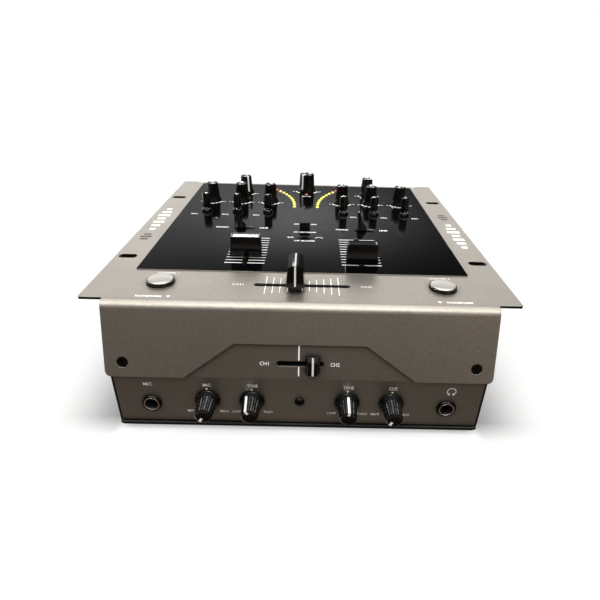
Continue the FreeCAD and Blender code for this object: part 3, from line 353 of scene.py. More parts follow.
def collar_metal():
    """Black nickel; the toggle's neck shows bright at the top of its black nut."""
    mat = metal("black_nickel", (0.012, 0.012, 0.013), rough=0.25)
    black = mat.present("Base Color")
    in_nut = mat.below("Z", PLATE_Z + 2.95 * MM)
    mat.set(Base_Color=mat.mix(in_nut, (0.80, 0.80, 0.78), black))
    return mat


def circuit_board():
    mat = Material("board_green")
    cloud = mat.noise(scale=60, detail=4)
    tracks = mat.node("TexBrick", {
        "Scale": 260, "Vector": mat.coord, "Color1": (0.010, 0.10, 0.045),
        "Color2": (0.012, 0.13, 0.055), "Mortar": (0.02, 0.2, 0.09)}).outputs
    mat.set(Base_Color=mat.mix(mat.remap(cloud, (0.3, 0.7)), tracks["Color"],
                               (0.01, 0.09, 0.04)),
            Roughness=mat.remap(cloud, (0.3, 0.7), to=(0.3, 0.42)),
            Normal=mat.bump(tracks["Fac"], strength=0.4, distance=0.00003))
    return mat


def socket_plastic():
    """Black inside, metal where the neck stands out of the panel."""
    mat = plastic("socket_black", (0.006, 0.006, 0.006), rough=0.45, edge=0.05, spec=0.2,
                  dust=0.01)
    neck = mat.below("Y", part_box("phone_sockets")[0].y + 0.12 * MM)
    mat.recolour(neck, (0.92, 0.86, 0.76))
    mat.set(Metallic=neck,
            Roughness=mat.math("SUBTRACT", mat.present("Roughness"),
                               mat.multiply(neck, 0.22), clamp=True))
    return mat


def nut_metal():
    """Nickel, but black for the round nuts in front of the lower panel."""
    mat = metal("nut_nickel", (0.62, 0.60, 0.55), rough=0.22)
    mat.recolour(mat.below("Y", PANEL_Y), (0.035, 0.035, 0.037))
    return mat


def phono_insert():
    """White for the upper row, red for the lower one."""
    mat = plastic("insert_colours", (0.72, 0.72, 0.70), rough=0.4)
    low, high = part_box("rca_inserts")
    mat.recolour(mat.below("Z", (low.z + high.z) / 2), (0.42, 0.02, 0.02))
    return mat


PAINT = cover_paint()
OVERLAY = overlay_gloss()
KNOB = plastic("knob_black", (0.0035, 0.0035, 0.004), rough=0.25, depth=0.000003, vary=0.2,
               edge=0.05, spec=0.4, dust=0.008)
CAP = plastic("cap_black", (0.0045, 0.0045, 0.005), rough=0.17, vary=0.2, edge=0.08, dust=0.015)
MOULDED = plastic("moulded_black", (0.022, 0.022, 0.023), rough=0.5)
WHITE_LINE = pointer_white()
TRAY = tray_paint()
RUBBER = plastic("foot_rubber", (0.02, 0.02, 0.02), rough=0.75, grain=1200, depth=0.00008)
ZINC = metal("black_zinc", (0.035, 0.035, 0.037), rough=0.24)
STEEL = metal("plated_steel", (0.55, 0.55, 0.53), rough=0.3, brushed=(1, 12, 1))
NICKEL = metal("nickel_plate", (0.72, 0.69, 0.62), rough=0.16, vary=0.08)
COLLAR = collar_metal()
BRASS = metal("brass", (0.75, 0.58, 0.28), rough=0.28)
BUTTON = metal("button_silver", (0.55, 0.53, 0.49), rough=0.38, vary=0.05, tarnish=0.03)
# the white inks carry painted brightness through their glow
INK_WHITE = ink("ink_white", (0.93, 0.93, 0.91), glow=0.35)
INK_SOFT = ink("ink_soft_white", (0.80, 0.79, 0.76), glow=0.16)
INK_BLACK = ink("ink_black", (0.02, 0.02, 0.02))
LAMP_YELLOW = lamp("lamp_yellow", (0.85, 0.75, 0.15), glow=(0.92, 0.80, 0.10), strength=0.95)
LAMP_RED = lamp("lamp_red", (0.50, 0.10, 0.09), glow=(0.70, 0.16, 0.13), strength=0.42)
BOARD = circuit_board()
PARTS = plastic("component_black", (0.03, 0.03, 0.035), rough=0.45)
CABLE = plastic("ribbon_grey", (0.42, 0.42, 0.42), rough=0.5, grain=900)
NYLON = plastic("connector_white", (0.75, 0.72, 0.62), rough=0.45)
SOCKET = socket_plastic()
NUTS = nut_metal()
INSERT = phono_insert()

# materials of the CAD pieces; any other piece is knob black
CAD_MATERIALS = {
    "top_cover": PAINT, "front_panel": PAINT, "fascia_overlay": OVERLAY, "case_tray": TRAY,
    "rear_panel": TRAY, "rubber_feet": RUBBER, "case_screws": ZINC, "potentiometers": STEEL,
    "panel_nuts": NUTS, "kill_collars": COLLAR, "switch_bodies": MOULDED,
    "fader_frames": ZINC, "cue_fader_frame": ZINC, "control_board": BOARD,
    "front_board": BOARD, "rear_board": BOARD, "main_board": BOARD,
    "board_components": PARTS, "ribbon_cables": CABLE, "cable_connectors": NYLON,
    "standoffs": BRASS, "meter_lamps": LAMP_YELLOW, "peak_lamps": LAMP_RED,
    "phone_sockets": SOCKET, "rca_shells": NICKEL, "rca_inserts": INSERT,
    "ground_post": NICKEL, "ground_thumb_nut": NICKEL, "power_inlet": MOULDED,
    "power_switch_body": MOULDED, "power_rocker": CAP, "reverse_switch": CAP,
    "slope_switch": CAP}


def paint(piece, material):
    slots = nodes[piece].data.materials
    if not slots:
        slots.append(material.data)
    for i in range(len(slots)):
        slots[i] = material.data


for piece in nodes:
    paint(piece, CAD_MATERIALS.get(piece, KNOB))


# ---- mesh helpers ------------------------------------------------------------------------
def make_object(name, verts, faces, materials, indices=None, angle=38):
    """A smooth-shaded object, sharp where faces meet at more than angle degrees."""
    mesh = bpy.data.meshes.new(name)
    mesh.from_pydata([tuple(v) for v in verts], [], faces)
    for material in materials:
        mesh.materials.append(material.data)
    if indices:
        mesh.polygons.foreach_set("material_index", indices)
    mesh.validate()
    mesh.update()
    mesh.shade_smooth()
    mesh.set_sharp_from_angle(angle=math.radians(angle))
    obj = bpy.data.objects.new(name, mesh)
    scene.collection.objects.link(obj)
    return obj


class Solid:
    """Gathers pieces of mesh, in millimetres in a local frame, into one object."""

    def __init__(self):
        self.verts, self.faces, self.indices = [], [], []

    def add(self, verts, faces, index=0):
        start = len(self.verts)
        self.verts += [Vector(v) for v in verts]
        self.faces += [[start + corner for corner in face] for face in faces]
        self.indices += [index] * len(faces)
        return self

    def lathe(self, profile, segments, groove=None, centre=(0, 0)):
        """Turns (radius, height) points about Z, from the bottom up the outside to the top.

        A third entry is the depth that groove(angle) cuts there.
        """
        rings, verts, faces = [], [], []
        for radius, z, *depth in profile:
            if radius < 1e-6:
                rings.append([len(verts)])
                verts.append((*centre, z))
                continue
            ring = []
            for s in range(segments):
                angle = 2 * math.pi * s / segments
                reach = radius - depth[0] * groove(angle) if depth else radius
                ring.append(len(verts))
                verts.append((centre[0] + reach * math.sin(angle),
                              centre[1] + reach * math.cos(angle), z))
            rings.append(ring)
        for low, high in zip(rings, rings[1:]):
            for s in range(segments):
                t = (s + 1) % segments
                if len(low) == 1:
                    faces.append((low[0], high[s], high[t]))
                elif len(high) == 1:
                    faces.append((low[t], low[s], high[0]))
                else:
                    faces.append((low[t], low[s], high[s], high[t]))
        return self.add(verts, faces)

    def loft(self, sections, corner_steps=5):
        """Joins rounded rectangles (half x, half y, corner radius, z), bottom to top."""
        verts, faces, rings = [], [], []
        for half_x, half_y, radius, z in sections:
            radius = min(radius, half_x * 0.98, half_y * 0.98)
            ring = []
            for sign_x, sign_y, start in ((1, 1, 0), (-1, 1, 90), (-1, -1, 180), (1, -1, 270)):
                for s in range(corner_steps + 1):
                    angle = math.radians(start + 90 * s / corner_steps)
                    ring.append(len(verts))
                    verts.append((sign_x * (half_x - radius) + radius * math.cos(angle),
                                  sign_y * (half_y - radius) + radius * math.sin(angle), z))
            rings.append(ring)
        count = len(rings[0])
        for low, high in zip(rings, rings[1:]):
            for s in range(count):
                t = (s + 1) % count
                faces.append((low[s], low[t], high[t], high[s]))
        faces.append(tuple(reversed(rings[0])))
        faces.append(tuple(rings[-1]))
        return self.add(verts, faces)

    def block(self, half_x, half_y, bottom, top, edge):
        """A box centred on Z with rounded edges."""
        insets = ((edge, 0), (edge * 0.3, edge * 0.3), (0, edge))   # inset, height from the end
        rows = [(inset, bottom + rise) for inset, rise in insets]
        rows += [(inset, top - rise) for inset, rise in reversed(insets)]
        return self.loft([(half_x - inset, half_y - inset, edge, z) for inset, z in rows], 3)

    def strip(self, path, outward, width, thick):
        """A raised band of the second material along path, its root sunk in the surface."""
        root = -0.12
        verts, faces = [], []
        for point, out in zip(path, outward):
            point, out = Vector(point), Vector(out).normalized()
            for sign, height in ((-1, root), (1, root), (1, thick), (-1, thick)):
                verts.append(point + Vector((sign * width / 2, 0, 0)) + out * height)
        last = 4 * (len(path) - 1)
        for a in range(0, last, 4):
            b = a + 4
            for j in range(4):
                k = (j + 1) % 4
                faces.append((a + j, b + j, b + k, a + k))
        faces.append((0, 1, 2, 3))
        faces.append((last + 3, last + 2, last + 1, last))
        return self.add(verts, faces, 1)

    def arch_line(self, half, width, thick):
        """A strip over a cap, front to back; half holds the front (y, z, outward y, z)."""
        rows = list(half) + [(-y, z, -out_y, out_z) for y, z, out_y, out_z in reversed(half)]
        return self.strip([(0, y, z) for y, z, _, _ in rows],
                          [(0, out_y, out_z) for _, _, out_y, out_z in rows], width, thick)

    def build(self, name, materials, body, place, angle=38, replaces=None, slot=None):
        points = [place @ (v * MM) for v in self.verts]
        obj = make_object(name, points, self.faces, materials, self.indices, angle)
        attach(obj, body)
        if replaces:
            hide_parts(replaces)


def frame_at(origin, x=(1, 0, 0), y=(0, 1, 0), z=(0, 0, 1)):
    place = Matrix((x, y, z)).transposed().to_4x4()
    place.translation = Vector(origin)
    return place


def turn(axis, degrees):
    return Matrix.Rotation(math.radians(degrees), 4, axis)


def mid_swing(joint, axis):
    """A frame at the joint, turned back by the middle of its range."""
    return Matrix.Translation(Vector(joint["pos_m"])) @ turn(axis, -sum(joint["range_deg"]) / 2)


def joints_named(*prefixes):
    return [(name, joint) for name, joint in joints.items() if name.startswith(prefixes)]


def above_plate(piece):
    """A frame on the faceplate's top face, under the middle of a CAD piece."""
    low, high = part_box(piece)
    return frame_at(((low.x + high.x) / 2, (low.y + high.y) / 2, PLATE_Z))


# ---- rotary knobs ------------------------------------------------------------------------
FLUTES = 18
POINTER_REST = -150                      # degrees, the pointer at the low end of its range
POINTER_WIDTH = 1.45


def flute(angle):
    return max(0.0, math.cos(FLUTES * angle + math.pi)) ** 1.6


def knob(name, base, top, height, lift):
    """A fluted cap with base and top radii, its skirt lift above the panel, and its shaft."""
    joint = joints[name]
    upright = abs(joint["axis"][2]) > 0.5
    place = frame_at(joint["pos_m"]) if upright else frame_at(joint["pos_m"], *FRONT_AXES)
    place = place @ turn("Z", joint["range_deg"][0] - POINTER_REST)
    waist = top + (base - top) * 0.36
    waist_z = lift + 4.6
    skirt_z = lift + 0.9
    skirt = []
    for i in range(9):
        u = i / 8
        skirt.append((base - (base - waist) * (1 - (1 - u) ** 2.1),
                      skirt_z + (waist_z - lift - 0.9) * u,
                      0.0 if u < 0.45 else 0.42 * (u - 0.45) / 0.55))
    # the hollow underside, then the skirt
    profile = [(0, lift + 2.9), (5.8, lift + 2.9), (5.9, lift + 0.1), (6.0, lift),
               (base - 0.2, lift), (base, lift + 0.2)]
    pointer_start = len(profile) + 3
    profile += skirt
    for i in range(1, 9):
        u = i / 8
        profile.append((waist + (top - waist) * u, waist_z + (height - 0.9 - waist_z) * u,
                        0.42 - 0.10 * u))
    # the rounded rim and the dished end
    profile += [(top - 0.06, height - 0.62, 0.28), (top - 0.22, height - 0.30, 0.18),
                (top - 0.50, height - 0.08, 0.05), (top - 0.75, height),
                (top - 0.98, height - 0.05), (top - 1.15, height - 0.28),
                (top - 1.5, height - 0.42), (top * 0.45, height - 0.48), (0, height - 0.50)]
    # the pointer runs up the side and over the rim towards the middle
    path = [Vector((0, radius, min(z, height - 0.10)))
            for radius, z, *_ in profile[pointer_start:-1]]
    outward = []
    for i in range(len(path)):
        along = (path[min(len(path) - 1, i + 1)] - path[max(0, i - 1)]).normalized()
        outward.append(Vector((0, along.z, -along.y)))
    cap = Solid().lathe(profile, FLUTES * 10, flute)
    cap.strip(path, outward, POINTER_WIDTH, thick=0.10)
    cap.build(name + "_cap", [KNOB, WHITE_LINE], name, place, 42, name, "knob_black")
    shaft = [(0, -9.0), (2.7, -9.0), (3.0, -8.7), (3.0, lift + 2.8), (0, lift + 2.8)]
    Solid().lathe(shaft, 32).build(name + "_shaft", [STEEL], name, place, slot="knob_black")


for name, _ in joints_named("eq_", "gain_"):
    knob(name, base=7.1, top=4.9, height=17.0, lift=0.9)
knob("master_knob", base=8.3, top=6.8, height=17.3, lift=0.9)
for name in ("mic_level_knob", "mic_tone_knob", "phones_tone_knob", "phones_level_knob"):
    knob(name, base=7.5, top=4.95, height=14.4, lift=0.4)

# ---- kill toggles: (radius, height above the pivot) --------------------------------------
KILL_FOOT = 8.5                          # the cap's foot
KILL_CAP = [(radius, KILL_FOOT + rise) for radius, rise in (
    (0, 0.1), (1.3, 0.1), (2.7, 0), (3.1, 0.12), (3.28, 0.5), (3.34, 3.5), (3.42, 7.0),
    (3.48, 10.4), (3.42, 10.9), (3.2, 11.35), (2.85, 11.62), (2.5, 11.7), (2.25, 11.6),
    (1.8, 11.42), (0, 11.35))]
KILL_LEVER = [
    (0, -1.9), (1.2, -1.5), (1.9, -0.6), (2.0, 0.0), (1.9, 0.6), (1.3, 1.5), (1.05, 2.4),
    (1.0, 5.0), (1.15, 8.0), (1.15, KILL_FOOT + 0.3), (0, KILL_FOOT + 0.3)]
KILL_TRUNNIONS = [(0, -3.0), (0.7, -3.0), (0.8, -2.9), (0.8, 2.9), (0.7, 3.0), (0, 3.0)]


def kill_toggle(name, joint):
    place = mid_swing(joint, "X")
    Solid().lathe(KILL_CAP, 56).build(name + "_cap", [CAP], name, place, 45, name, "knob_black")
    Solid().lathe(KILL_LEVER, 32).build(name + "_lever", [NICKEL], name, place, slot="nickel")
    Solid().lathe(KILL_TRUNNIONS, 20).build(
        name + "_trunnions", [NICKEL], name, place @ turn("Y", 90))


for name, joint in joints_named("kill_"):
    kill_toggle(name, joint)

# ---- transform levers: (radius, height above the pivot) ----------------------------------
LEVER_CAP = [(0, 8.2), (3.3, 8.2), (3.4, 8.4), (3.4, 13.8), (3.5, 13.9), (4.1, 13.9),
             (4.2, 14.0), (4.18, 14.3)]
LEVER_CAP += [(1.25 + 2.9 * (1 - i / 14) ** 2.6, 14.3 + 13.1 * (i / 14)) for i in range(1, 15)]
LEVER_CAP += [(1.22, 27.65), (1.05, 27.95), (0.75, 28.14), (0.4, 28.2), (0, 28.2)]
LEVER_STALK = [(0, 2.2), (1.5, 2.2), (1.5, 8.3), (0, 8.3)]
LEVER_HUB = [(0.82, -3.0), (2.4, -3.0), (2.6, -2.8), (2.6, 2.8), (2.4, 3.0), (0.82, 3.0),
             (0.82, -3.0)]


def transform_lever(name, joint):
    place = mid_swing(joint, "Y")
    Solid().lathe(LEVER_CAP, 48).build(name + "_cap", [CAP], name, place, 45, name, "knob_black")
    Solid().lathe(LEVER_STALK, 24).build(name + "_stalk", [STEEL], name, place)
    Solid().lathe(LEVER_HUB, 32).build(name + "_hub", [MOULDED], name, place @ turn("X", -90))


for name, joint in joints_named("transform_lever"):
    transform_lever(name, joint)

# ---- faders ------------------------------------------------------------------------------
STEM = (2.0, 0.6)                        # half sizes along and across the travel
CARRIAGE = (4.5, 3.6)
CARRIAGE_Z = -8.0


def fader_carriage(name, place, stem, carriage, stem_top):
    """The stem below a cap and the carriage it stands on; sizes are half x, half y."""
    part = Solid().block(*stem, CARRIAGE_Z, stem_top, edge=0.1)
    part.block(*carriage, CARRIAGE_Z - 2.2, CARRIAGE_Z + 0.8, edge=0.3)
    part.build(name + "_carriage", [STEEL], name, place)


LINE_FOOT = 1.5                          # the cap's foot above the plate
# inset x and y from the top edge, corner radius, depth below the top
LINE_RIM = ((0, 0, 0.7, 0.45), (0.08, 0.08, 0.7, 0.2), (0.25, 0.25, 0.6, 0.04),
            (0.45, 0.45, 0.5, 0), (0.75, 0.75, 0.4, 0.02), (0.95, 0.95, 0.4, 0.16),
            (1.1, 1.1, 0.4, 0.36), (1.4, 1.3, 0.3, 0.42), (4.0, 2.2, 0.3, 0.44))


def line_fader(name):
    """A tapered cap, dished on top, as large as its CAD piece."""
    low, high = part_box(name)
    place = above_plate(name)
    top = (high.z - PLATE_Z) / MM
    base_x, base_y = (high.x - low.x) / 2 / MM, (high.y - low.y) / 2 / MM
    edge_x, edge_y = base_x - 0.82, base_y - 1.02
    sections = [(base_x - 0.4, base_y - 0.4, 0.6, LINE_FOOT),
                (base_x - 0.1, base_y - 0.1, 0.7, LINE_FOOT + 0.15),
                (base_x, base_y, 0.7, LINE_FOOT + 0.5),
                ((base_x + edge_x) / 2, (base_y + edge_y) / 2, 0.7, (LINE_FOOT + top) / 2)]
    sections += [(edge_x - inset_x, edge_y - inset_y, radius, top - drop)
                 for inset_x, inset_y, radius, drop in LINE_RIM]
    Solid().loft(sections).build(name + "_cap", [CAP], name, place, 50, name, "knob_black")
    fader_carriage(name, place, STEM[::-1], CARRIAGE[::-1], stem_top=LINE_FOOT + 0.4)


# half x, half y, corner radius, z above the plate
CROSS_NECK = ((3.8, 8.2, 0.5, 0.7), (4.0, 8.4, 0.6, 0.95), (4.0, 8.4, 0.6, 3.9))
CROSS_GRIP = ((5.0, 9.85, 0.6, 3.6), (5.3, 10.2, 0.6, 3.68), (5.4, 10.3, 0.6, 4.1),
              (4.87, 9.92, 0.6, 10.5), (4.3, 9.62, 0.6, 15.8), (4.15, 9.56, 0.6, 16.15),
              (2.0, 9.42, 0.5, 17.1), (1.6, 9.3, 0.4, 17.2))
# y, z, outward y, outward z
CROSS_LINE = ((-10.24, 4.4, -1, 0.05), (-9.9, 10.5, -1, 0.05), (-9.62, 15.8, -1, 0.05),
              (-9.48, 16.8, -1, 0.4), (-9.3, 17.15, -0.7, 0.7), (-8.9, 17.2, -0.15, 1))


def crossfader():
    name = "crossfader"
    place = above_plate(name)
    cap = Solid().loft(CROSS_NECK, corner_steps=4).loft(CROSS_GRIP)
    cap.arch_line(CROSS_LINE, width=1.05, thick=0.06)
    cap.build("crossfader_cap", [CAP, WHITE_LINE], name, place, 30, name, "knob_black")
    fader_carriage(name, place, STEM, CARRIAGE, stem_top=1.2)


CUE_DOWN = 31.4                          # the cap's middle, down the apron
# half x, half y, corner radius, height off the inner sloped panel
CUE_CAP = ((4.0, 5.3, 0.6, 1.1), (4.25, 5.55, 0.8, 1.25), (4.3, 5.6, 0.8, 1.6),
           (4.25, 5.5, 0.8, 2.2), (3.95, 5.05, 0.8, 3.0), (3.3, 4.5, 0.6, 3.7),
           (3.05, 4.35, 0.6, 4.6), (2.9, 4.2, 0.6, 8.2), (2.75, 4.05, 0.5, 8.6),
           (2.45, 3.8, 0.4, 8.8))
# y, z, outward y, outward z
CUE_LINE = ((-4.95, 3.1, -1, 0.8), (-4.5, 3.75, -1, 0.5), (-4.33, 4.6, -1, 0),
            (-4.2, 8.2, -1, 0.1), (-3.95, 8.7, -0.7, 0.7), (-3.5, 8.8, -0.1, 1))


def cue_fader():
    name = "cue_fader"
    low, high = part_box(name)
    middle = (low.x + high.x) / 2 / MM
    place = frame_at(on_apron(middle, CUE_DOWN, -APRON_INSET), *APRON_AXES)
    cap = Solid().loft(CUE_CAP).arch_line(CUE_LINE, width=1.1, thick=0.05)
    cap.build("cue_fader_cap", [CAP, WHITE_LINE], name, place, 30, name, "knob_black")
    carriage = Solid().block(1.6, 0.6, bottom=-6.2, top=1.6, edge=0.1)
    carriage.block(3.0, 3.2, bottom=-8.0, top=-5.6, edge=0.3)
    carriage.build("cue_fader_carriage", [STEEL], name, place)


line_fader("line_fader_left")
line_fader("line_fader_right")
crossfader()
cue_fader()

# ---- push buttons: (radius, z above the plate) -------------------------------------------
BUTTON_RING = [
    (0, -7.0), (1.8, -7.0), (2.0, -6.8), (2.0, -3.4), (9.6, -3.4), (9.8, -3.2), (9.8, -2.6),
    (9.6, -2.4), (8.2, -2.4), (8.2, 1.2), (8.17, 1.6), (8.08, 1.82), (7.98, 1.9),
    (7.86, 1.82), (7.75, 1.3), (0, 1.3)]
BUTTON_DOME = [
    (0, 1.2), (7.5, 1.2), (7.6, 1.7), (7.64, 2.0), (7.56, 2.2), (7.3, 2.38), (6.7, 2.6),
    (6.0, 2.76), (4.8, 2.94), (3.3, 3.08), (1.6, 3.17), (0, 3.2)]


def push_button(name):
    place = above_plate(name)
    for part, profile, material, replaces in (("_ring", BUTTON_RING, CAP, name),
                                              ("_dome", BUTTON_DOME, BUTTON, None)):
        Solid().lathe(profile, 72).build(
            name + part, [material], name, place, 40, replaces, "silver_button")


push_button("transform_button_left")
push_button("transform_button_right")

# ---- lamps -------------------------------------------------------------------------------
LENS = [(0, -4.2), (1.45, -4.2), (1.45, 0.45), (1.43, 0.75), (1.34, 1.0), (1.12, 1.22),
        (0.8, 1.38), (0.4, 1.47), (0, 1.5)]          # radius, z
# x, y of the right meter, from the back; the left one mirrors it
PEAK_SPOT = (29.0, 222.9)
METER_SPOTS = ((25.5, 217.7), (22.1, 212.9), (19.1, 207.6), (16.4, 202.0), (14.2, 196.3),
               (12.5, 190.3), (11.3, 183.9), (10.5, 177.6), (10.2, 170.5))
MASTER_SPOT = (0.0, 208.8)


def lamps(name, spots, material, replaces, slot):
    lenses = Solid()
    for spot in spots:
        lenses.lathe(LENS, 28, centre=spot)
    lenses.build(name, [material], "case", frame_at(at(0, 0)), 45, replaces, slot)


lamps("meter_lenses", [(side * x, y) for side in SIDES for x, y in METER_SPOTS],
      LAMP_YELLOW, "meter_lamps", "lamp_yellow")
lamps("peak_lenses", [(side * PEAK_SPOT[0], PEAK_SPOT[1]) for side in SIDES] + [MASTER_SPOT],
      LAMP_RED, "peak_lamps", "lamp_red")

# ---- printed marks -----------------------------------------------------------------------
PRINT_GAP = 0.01                         # between a face and the print's underside
PRINT_THICK = 0.03


def around(x, y, radius, degrees):
    """A point on a circle, clockwise from 12 o'clock."""
    angle = math.radians(degrees)
    return x + radius * math.sin(angle), y + radius * math.cos(angle)


class Print(Solid):
    """Thin printed shapes laid on a face."""

    def __init__(self, place):
        super().__init__()
        self.place = place

    def poly(self, points, index=0):
        count = len(points)
        verts = [(x, y, z) for z in (0.0, PRINT_THICK) for x, y in points]
        faces = [tuple(range(count, 2 * count)), tuple(reversed(range(count)))]
        for i in range(count):
            j = (i + 1) % count
            faces.append((i, j, count + j, count + i))
        self.add(verts, faces, index)

    def bar(self, x0, x1, y0, y1, index=0):
        self.poly([(x0, y0), (x1, y0), (x1, y1), (x0, y1)], index)

    def disc(self, x, y, radius, sides=20):
        angles = [2 * math.pi * i / sides for i in range(sides)]
        self.poly([(x + radius * math.cos(a), y + radius * math.sin(a)) for a in angles])

    def line(self, points, width):
        left, right = [], []
        for i, point in enumerate(points):
            before = Vector(points[max(0, i - 1)])
            after = Vector(points[min(len(points) - 1, i + 1)])
            along = (after - before).normalized()
            offset = Vector((-along.y, along.x)) * width / 2
            left.append(tuple(Vector(point) + offset))
            right.append(tuple(Vector(point) - offset))
        for i in range(len(points) - 1):
            self.poly([right[i], right[i + 1], left[i + 1], left[i]])

    def arc(self, x, y, radius, start, end, width, steps=10):
        self.line([around(x, y, radius, start + (end - start) * i / steps)
                   for i in range(steps + 1)], width)

    def text(self, words, x, y, width=None, height=2.0, bold=0.012):
        """Words centred on x, y; bold swells the letters. No width keeps their shape."""
        curve = bpy.data.curves.new("text", "FONT")
        curve.body = words
        curve.align_x, curve.align_y = "CENTER", "CENTER"
        curve.offset = bold
        curve.resolution_u = 3
        obj = bpy.data.objects.new("text", curve)
        scene.collection.objects.link(obj)
        depsgraph = bpy.context.evaluated_depsgraph_get()
        mesh = bpy.data.meshes.new_from_object(obj.evaluated_get(depsgraph))
        xs = [v.co.x for v in mesh.vertices]
        ys = [v.co.y for v in mesh.vertices]
        middle_x, middle_y = (max(xs) + min(xs)) / 2, (max(ys) + min(ys)) / 2
        scale_y = height / (max(ys) - min(ys))
        scale_x = width / (max(xs) - min(xs)) if width else scale_y
        verts = [(x + (v.co.x - middle_x) * scale_x, y + (v.co.y - middle_y) * scale_y,
                  PRINT_THICK) for v in mesh.vertices]
        faces = []
        for face in mesh.polygons:
            corners = list(face.vertices)
            if face.normal.z < 0:
                corners.reverse()
            faces.append(tuple(corners))
        self.add(verts, faces)
        bpy.data.objects.remove(obj)
        bpy.data.curves.remove(curve)
        bpy.data.meshes.remove(mesh)

    def dial_scale(self, x, y, radius, arc, width, number, height, dot_angle=None):
        """Arcs either side of a knob, with 0 and 10 at the number's x, y from its middle."""
        for side, digits in zip(SIDES, ("0", "10")):
            self.arc(x, y, radius, side * arc[0], side * arc[1], width)
            if dot_angle:
                self.disc(*around(x, y, radius, side * dot_angle), 1.0)
            self.text(digits, x + side * number[0], y + number[1], height=height)

    def level_bars(self, x, start, end, width, shares, index):
        """A stack of bars from start to end in y, each a share of the width."""
        step = (end - start) / len(shares)
        for i, share in enumerate(shares):
            y = start + step * (i + 0.5)
            self.bar(x - width / 2 * share, x + width / 2 * share,
                     y - abs(step) * 0.25, y + abs(step) * 0.25, index)

    def done(self, name, materials):
        self.build(name, materials, "case", self.place, 60)


def lifted(x, y):
    """A place on the plate, moved along its line of sight up to the overlay's face."""
    share = OVERLAY_THICK / EYE[2]
    return x - (x - EYE[0]) * share, y - (y - EYE[1]) * share


FADER_X = 39.05                          # line faders, either side of the middle
TICK_Y, TICK_PITCH = 50.5, 4.45
DIAL_RADIUS = 8.7
CURVE_MARK_Y = 98
# words, x, y, width, height, bold
OVERLAY_LABELS = (("MASTER", 0, 204.3, 8.4, 2.0, 0.012), ("OFF", -6.9, 127, 4.4, 2.3, 0.04),
                  ("ON", 6.9, 127, 4.4, 2.3, 0.04), ("CF REVERSE", 0, 109.2, 17.5, 2.0, 0.04),
                  ("CF SLOPE", 0, 91.5, 15.5, 2.0, 0.04))
# middle's x, then points from the middle: two crossing curves and a flat-topped one
CURVE_MARKS = (
    (-10.6, ((-2.2, -0.9), (-0.8, -0.2), (0.8, 0.4), (2.2, 1.0))),
    (-10.6, ((-2.2, 1.0), (-0.8, 0.4), (0.8, -0.2), (2.2, -0.9))),
    (11.0, ((-2.6, -1.0), (-1.9, 0.7), (-1.2, 1.0), (1.2, 1.0), (1.9, 0.7), (2.6, -1.0))))


def channel_print(sheet, side, kill_shift, phono_x, line_x):
    """One channel's marks on the overlay."""
    for i in range(11):
        tick_width = 0.62 if i % 5 else 0.85
        for start, end in ((1.9, 13.35), (-13.35, -1.9)):
            x0, y = lifted(side * FADER_X + start, TICK_Y + TICK_PITCH * i)
            x1, _ = lifted(side * FADER_X + end, TICK_Y + TICK_PITCH * i)
            sheet.bar(x0, x1, y - tick_width / 2, y + tick_width / 2)
    for x in (32.4, 58.5, 84.7):
        sheet.text("KILL", *lifted(side * x + kill_shift, 147.2), 5.8, 2.3, bold=0.03)
    for x, words, width in ((32.4, "LOW", 4.5), (58.6, "MID", 4.5), (84.8, "HIGH", 5.4)):
        dial_y = 184.2
        sheet.text(words, side * x, dial_y - 9.4, width, 2.1, bold=0.03)
        sheet.dial_scale(side * x, dial_y, DIAL_RADIUS, arc=(108, 140), width=1.2,
                         number=(10.6, -3.4), height=2.0, dot_angle=152)
    gain_x, gain_y = side * 57.9, 211.0
    sheet.dial_scale(gain_x, gain_y, DIAL_RADIUS, arc=(104, 140), width=1.2,
                     number=(10.6, -3.0), height=2.0)
    sheet.text("GAIN", gain_x, gain_y - 9.6, width=5.2, height=1.9)
    for words, x, width in (("PHONO", phono_x, 9.8), ("LINE", line_x, 6.4)):
        sheet.text(words, *lifted(x, 116.5), width, 2.3, bold=0.04)


def overlay_print():
    sheet = Print(frame_at(at(0, 0, OVERLAY_THICK + PRINT_GAP)))
    channel_print(sheet, -1, kill_shift=-9.2, phono_x=-65.1, line_x=-32.3)
    channel_print(sheet, 1, kill_shift=8.5, phono_x=29.6, line_x=62.1)
    sheet.dial_scale(0, 222.5, radius=10.6, arc=(104, 142), width=1.3, number=(12.6, -3.9),
                     height=2.3)
    for words, x, y, width, height, bold in OVERLAY_LABELS:
        sheet.text(words, *lifted(x, y), width, height, bold)
    for middle, points in CURVE_MARKS:
        x, y = lifted(middle, CURVE_MARK_Y)
        sheet.line([(x + dx, y + dy) for dx, dy in points], width=0.55)
    sheet.done("fascia_print", [INK_WHITE])


# crossfader ticks: x, front end, back end; they stop either side of the fader's slot
CROSS_TICKS = ((22, 8.1, 31.5), (17.6, 9.1, 30.0), (13.2, 10.1, 28.8), (8.8, 11.3, 27.5),
               (4.4, 12.7, 26.2))
CROSS_GAP = (18.1, 21.1)
# flange level bars: x, start y, end y, width, each bar's share of the width, ink index
LONG_STACK = (0.45, 0.8, 1.0, 0.65, 0.9, 0.7, 0.45)
SHORT_STACK = (0.65, 1.0, 0.65)
FLANGE_BARS = ((-117.8, 161, 105, 9.6, LONG_STACK, 0), (-117.8, 100, 86, 8.4, SHORT_STACK, 1),
               (117.8, 136, 82, 9.6, LONG_STACK, 0), (117.8, 159, 144, 8.4, SHORT_STACK, 1))


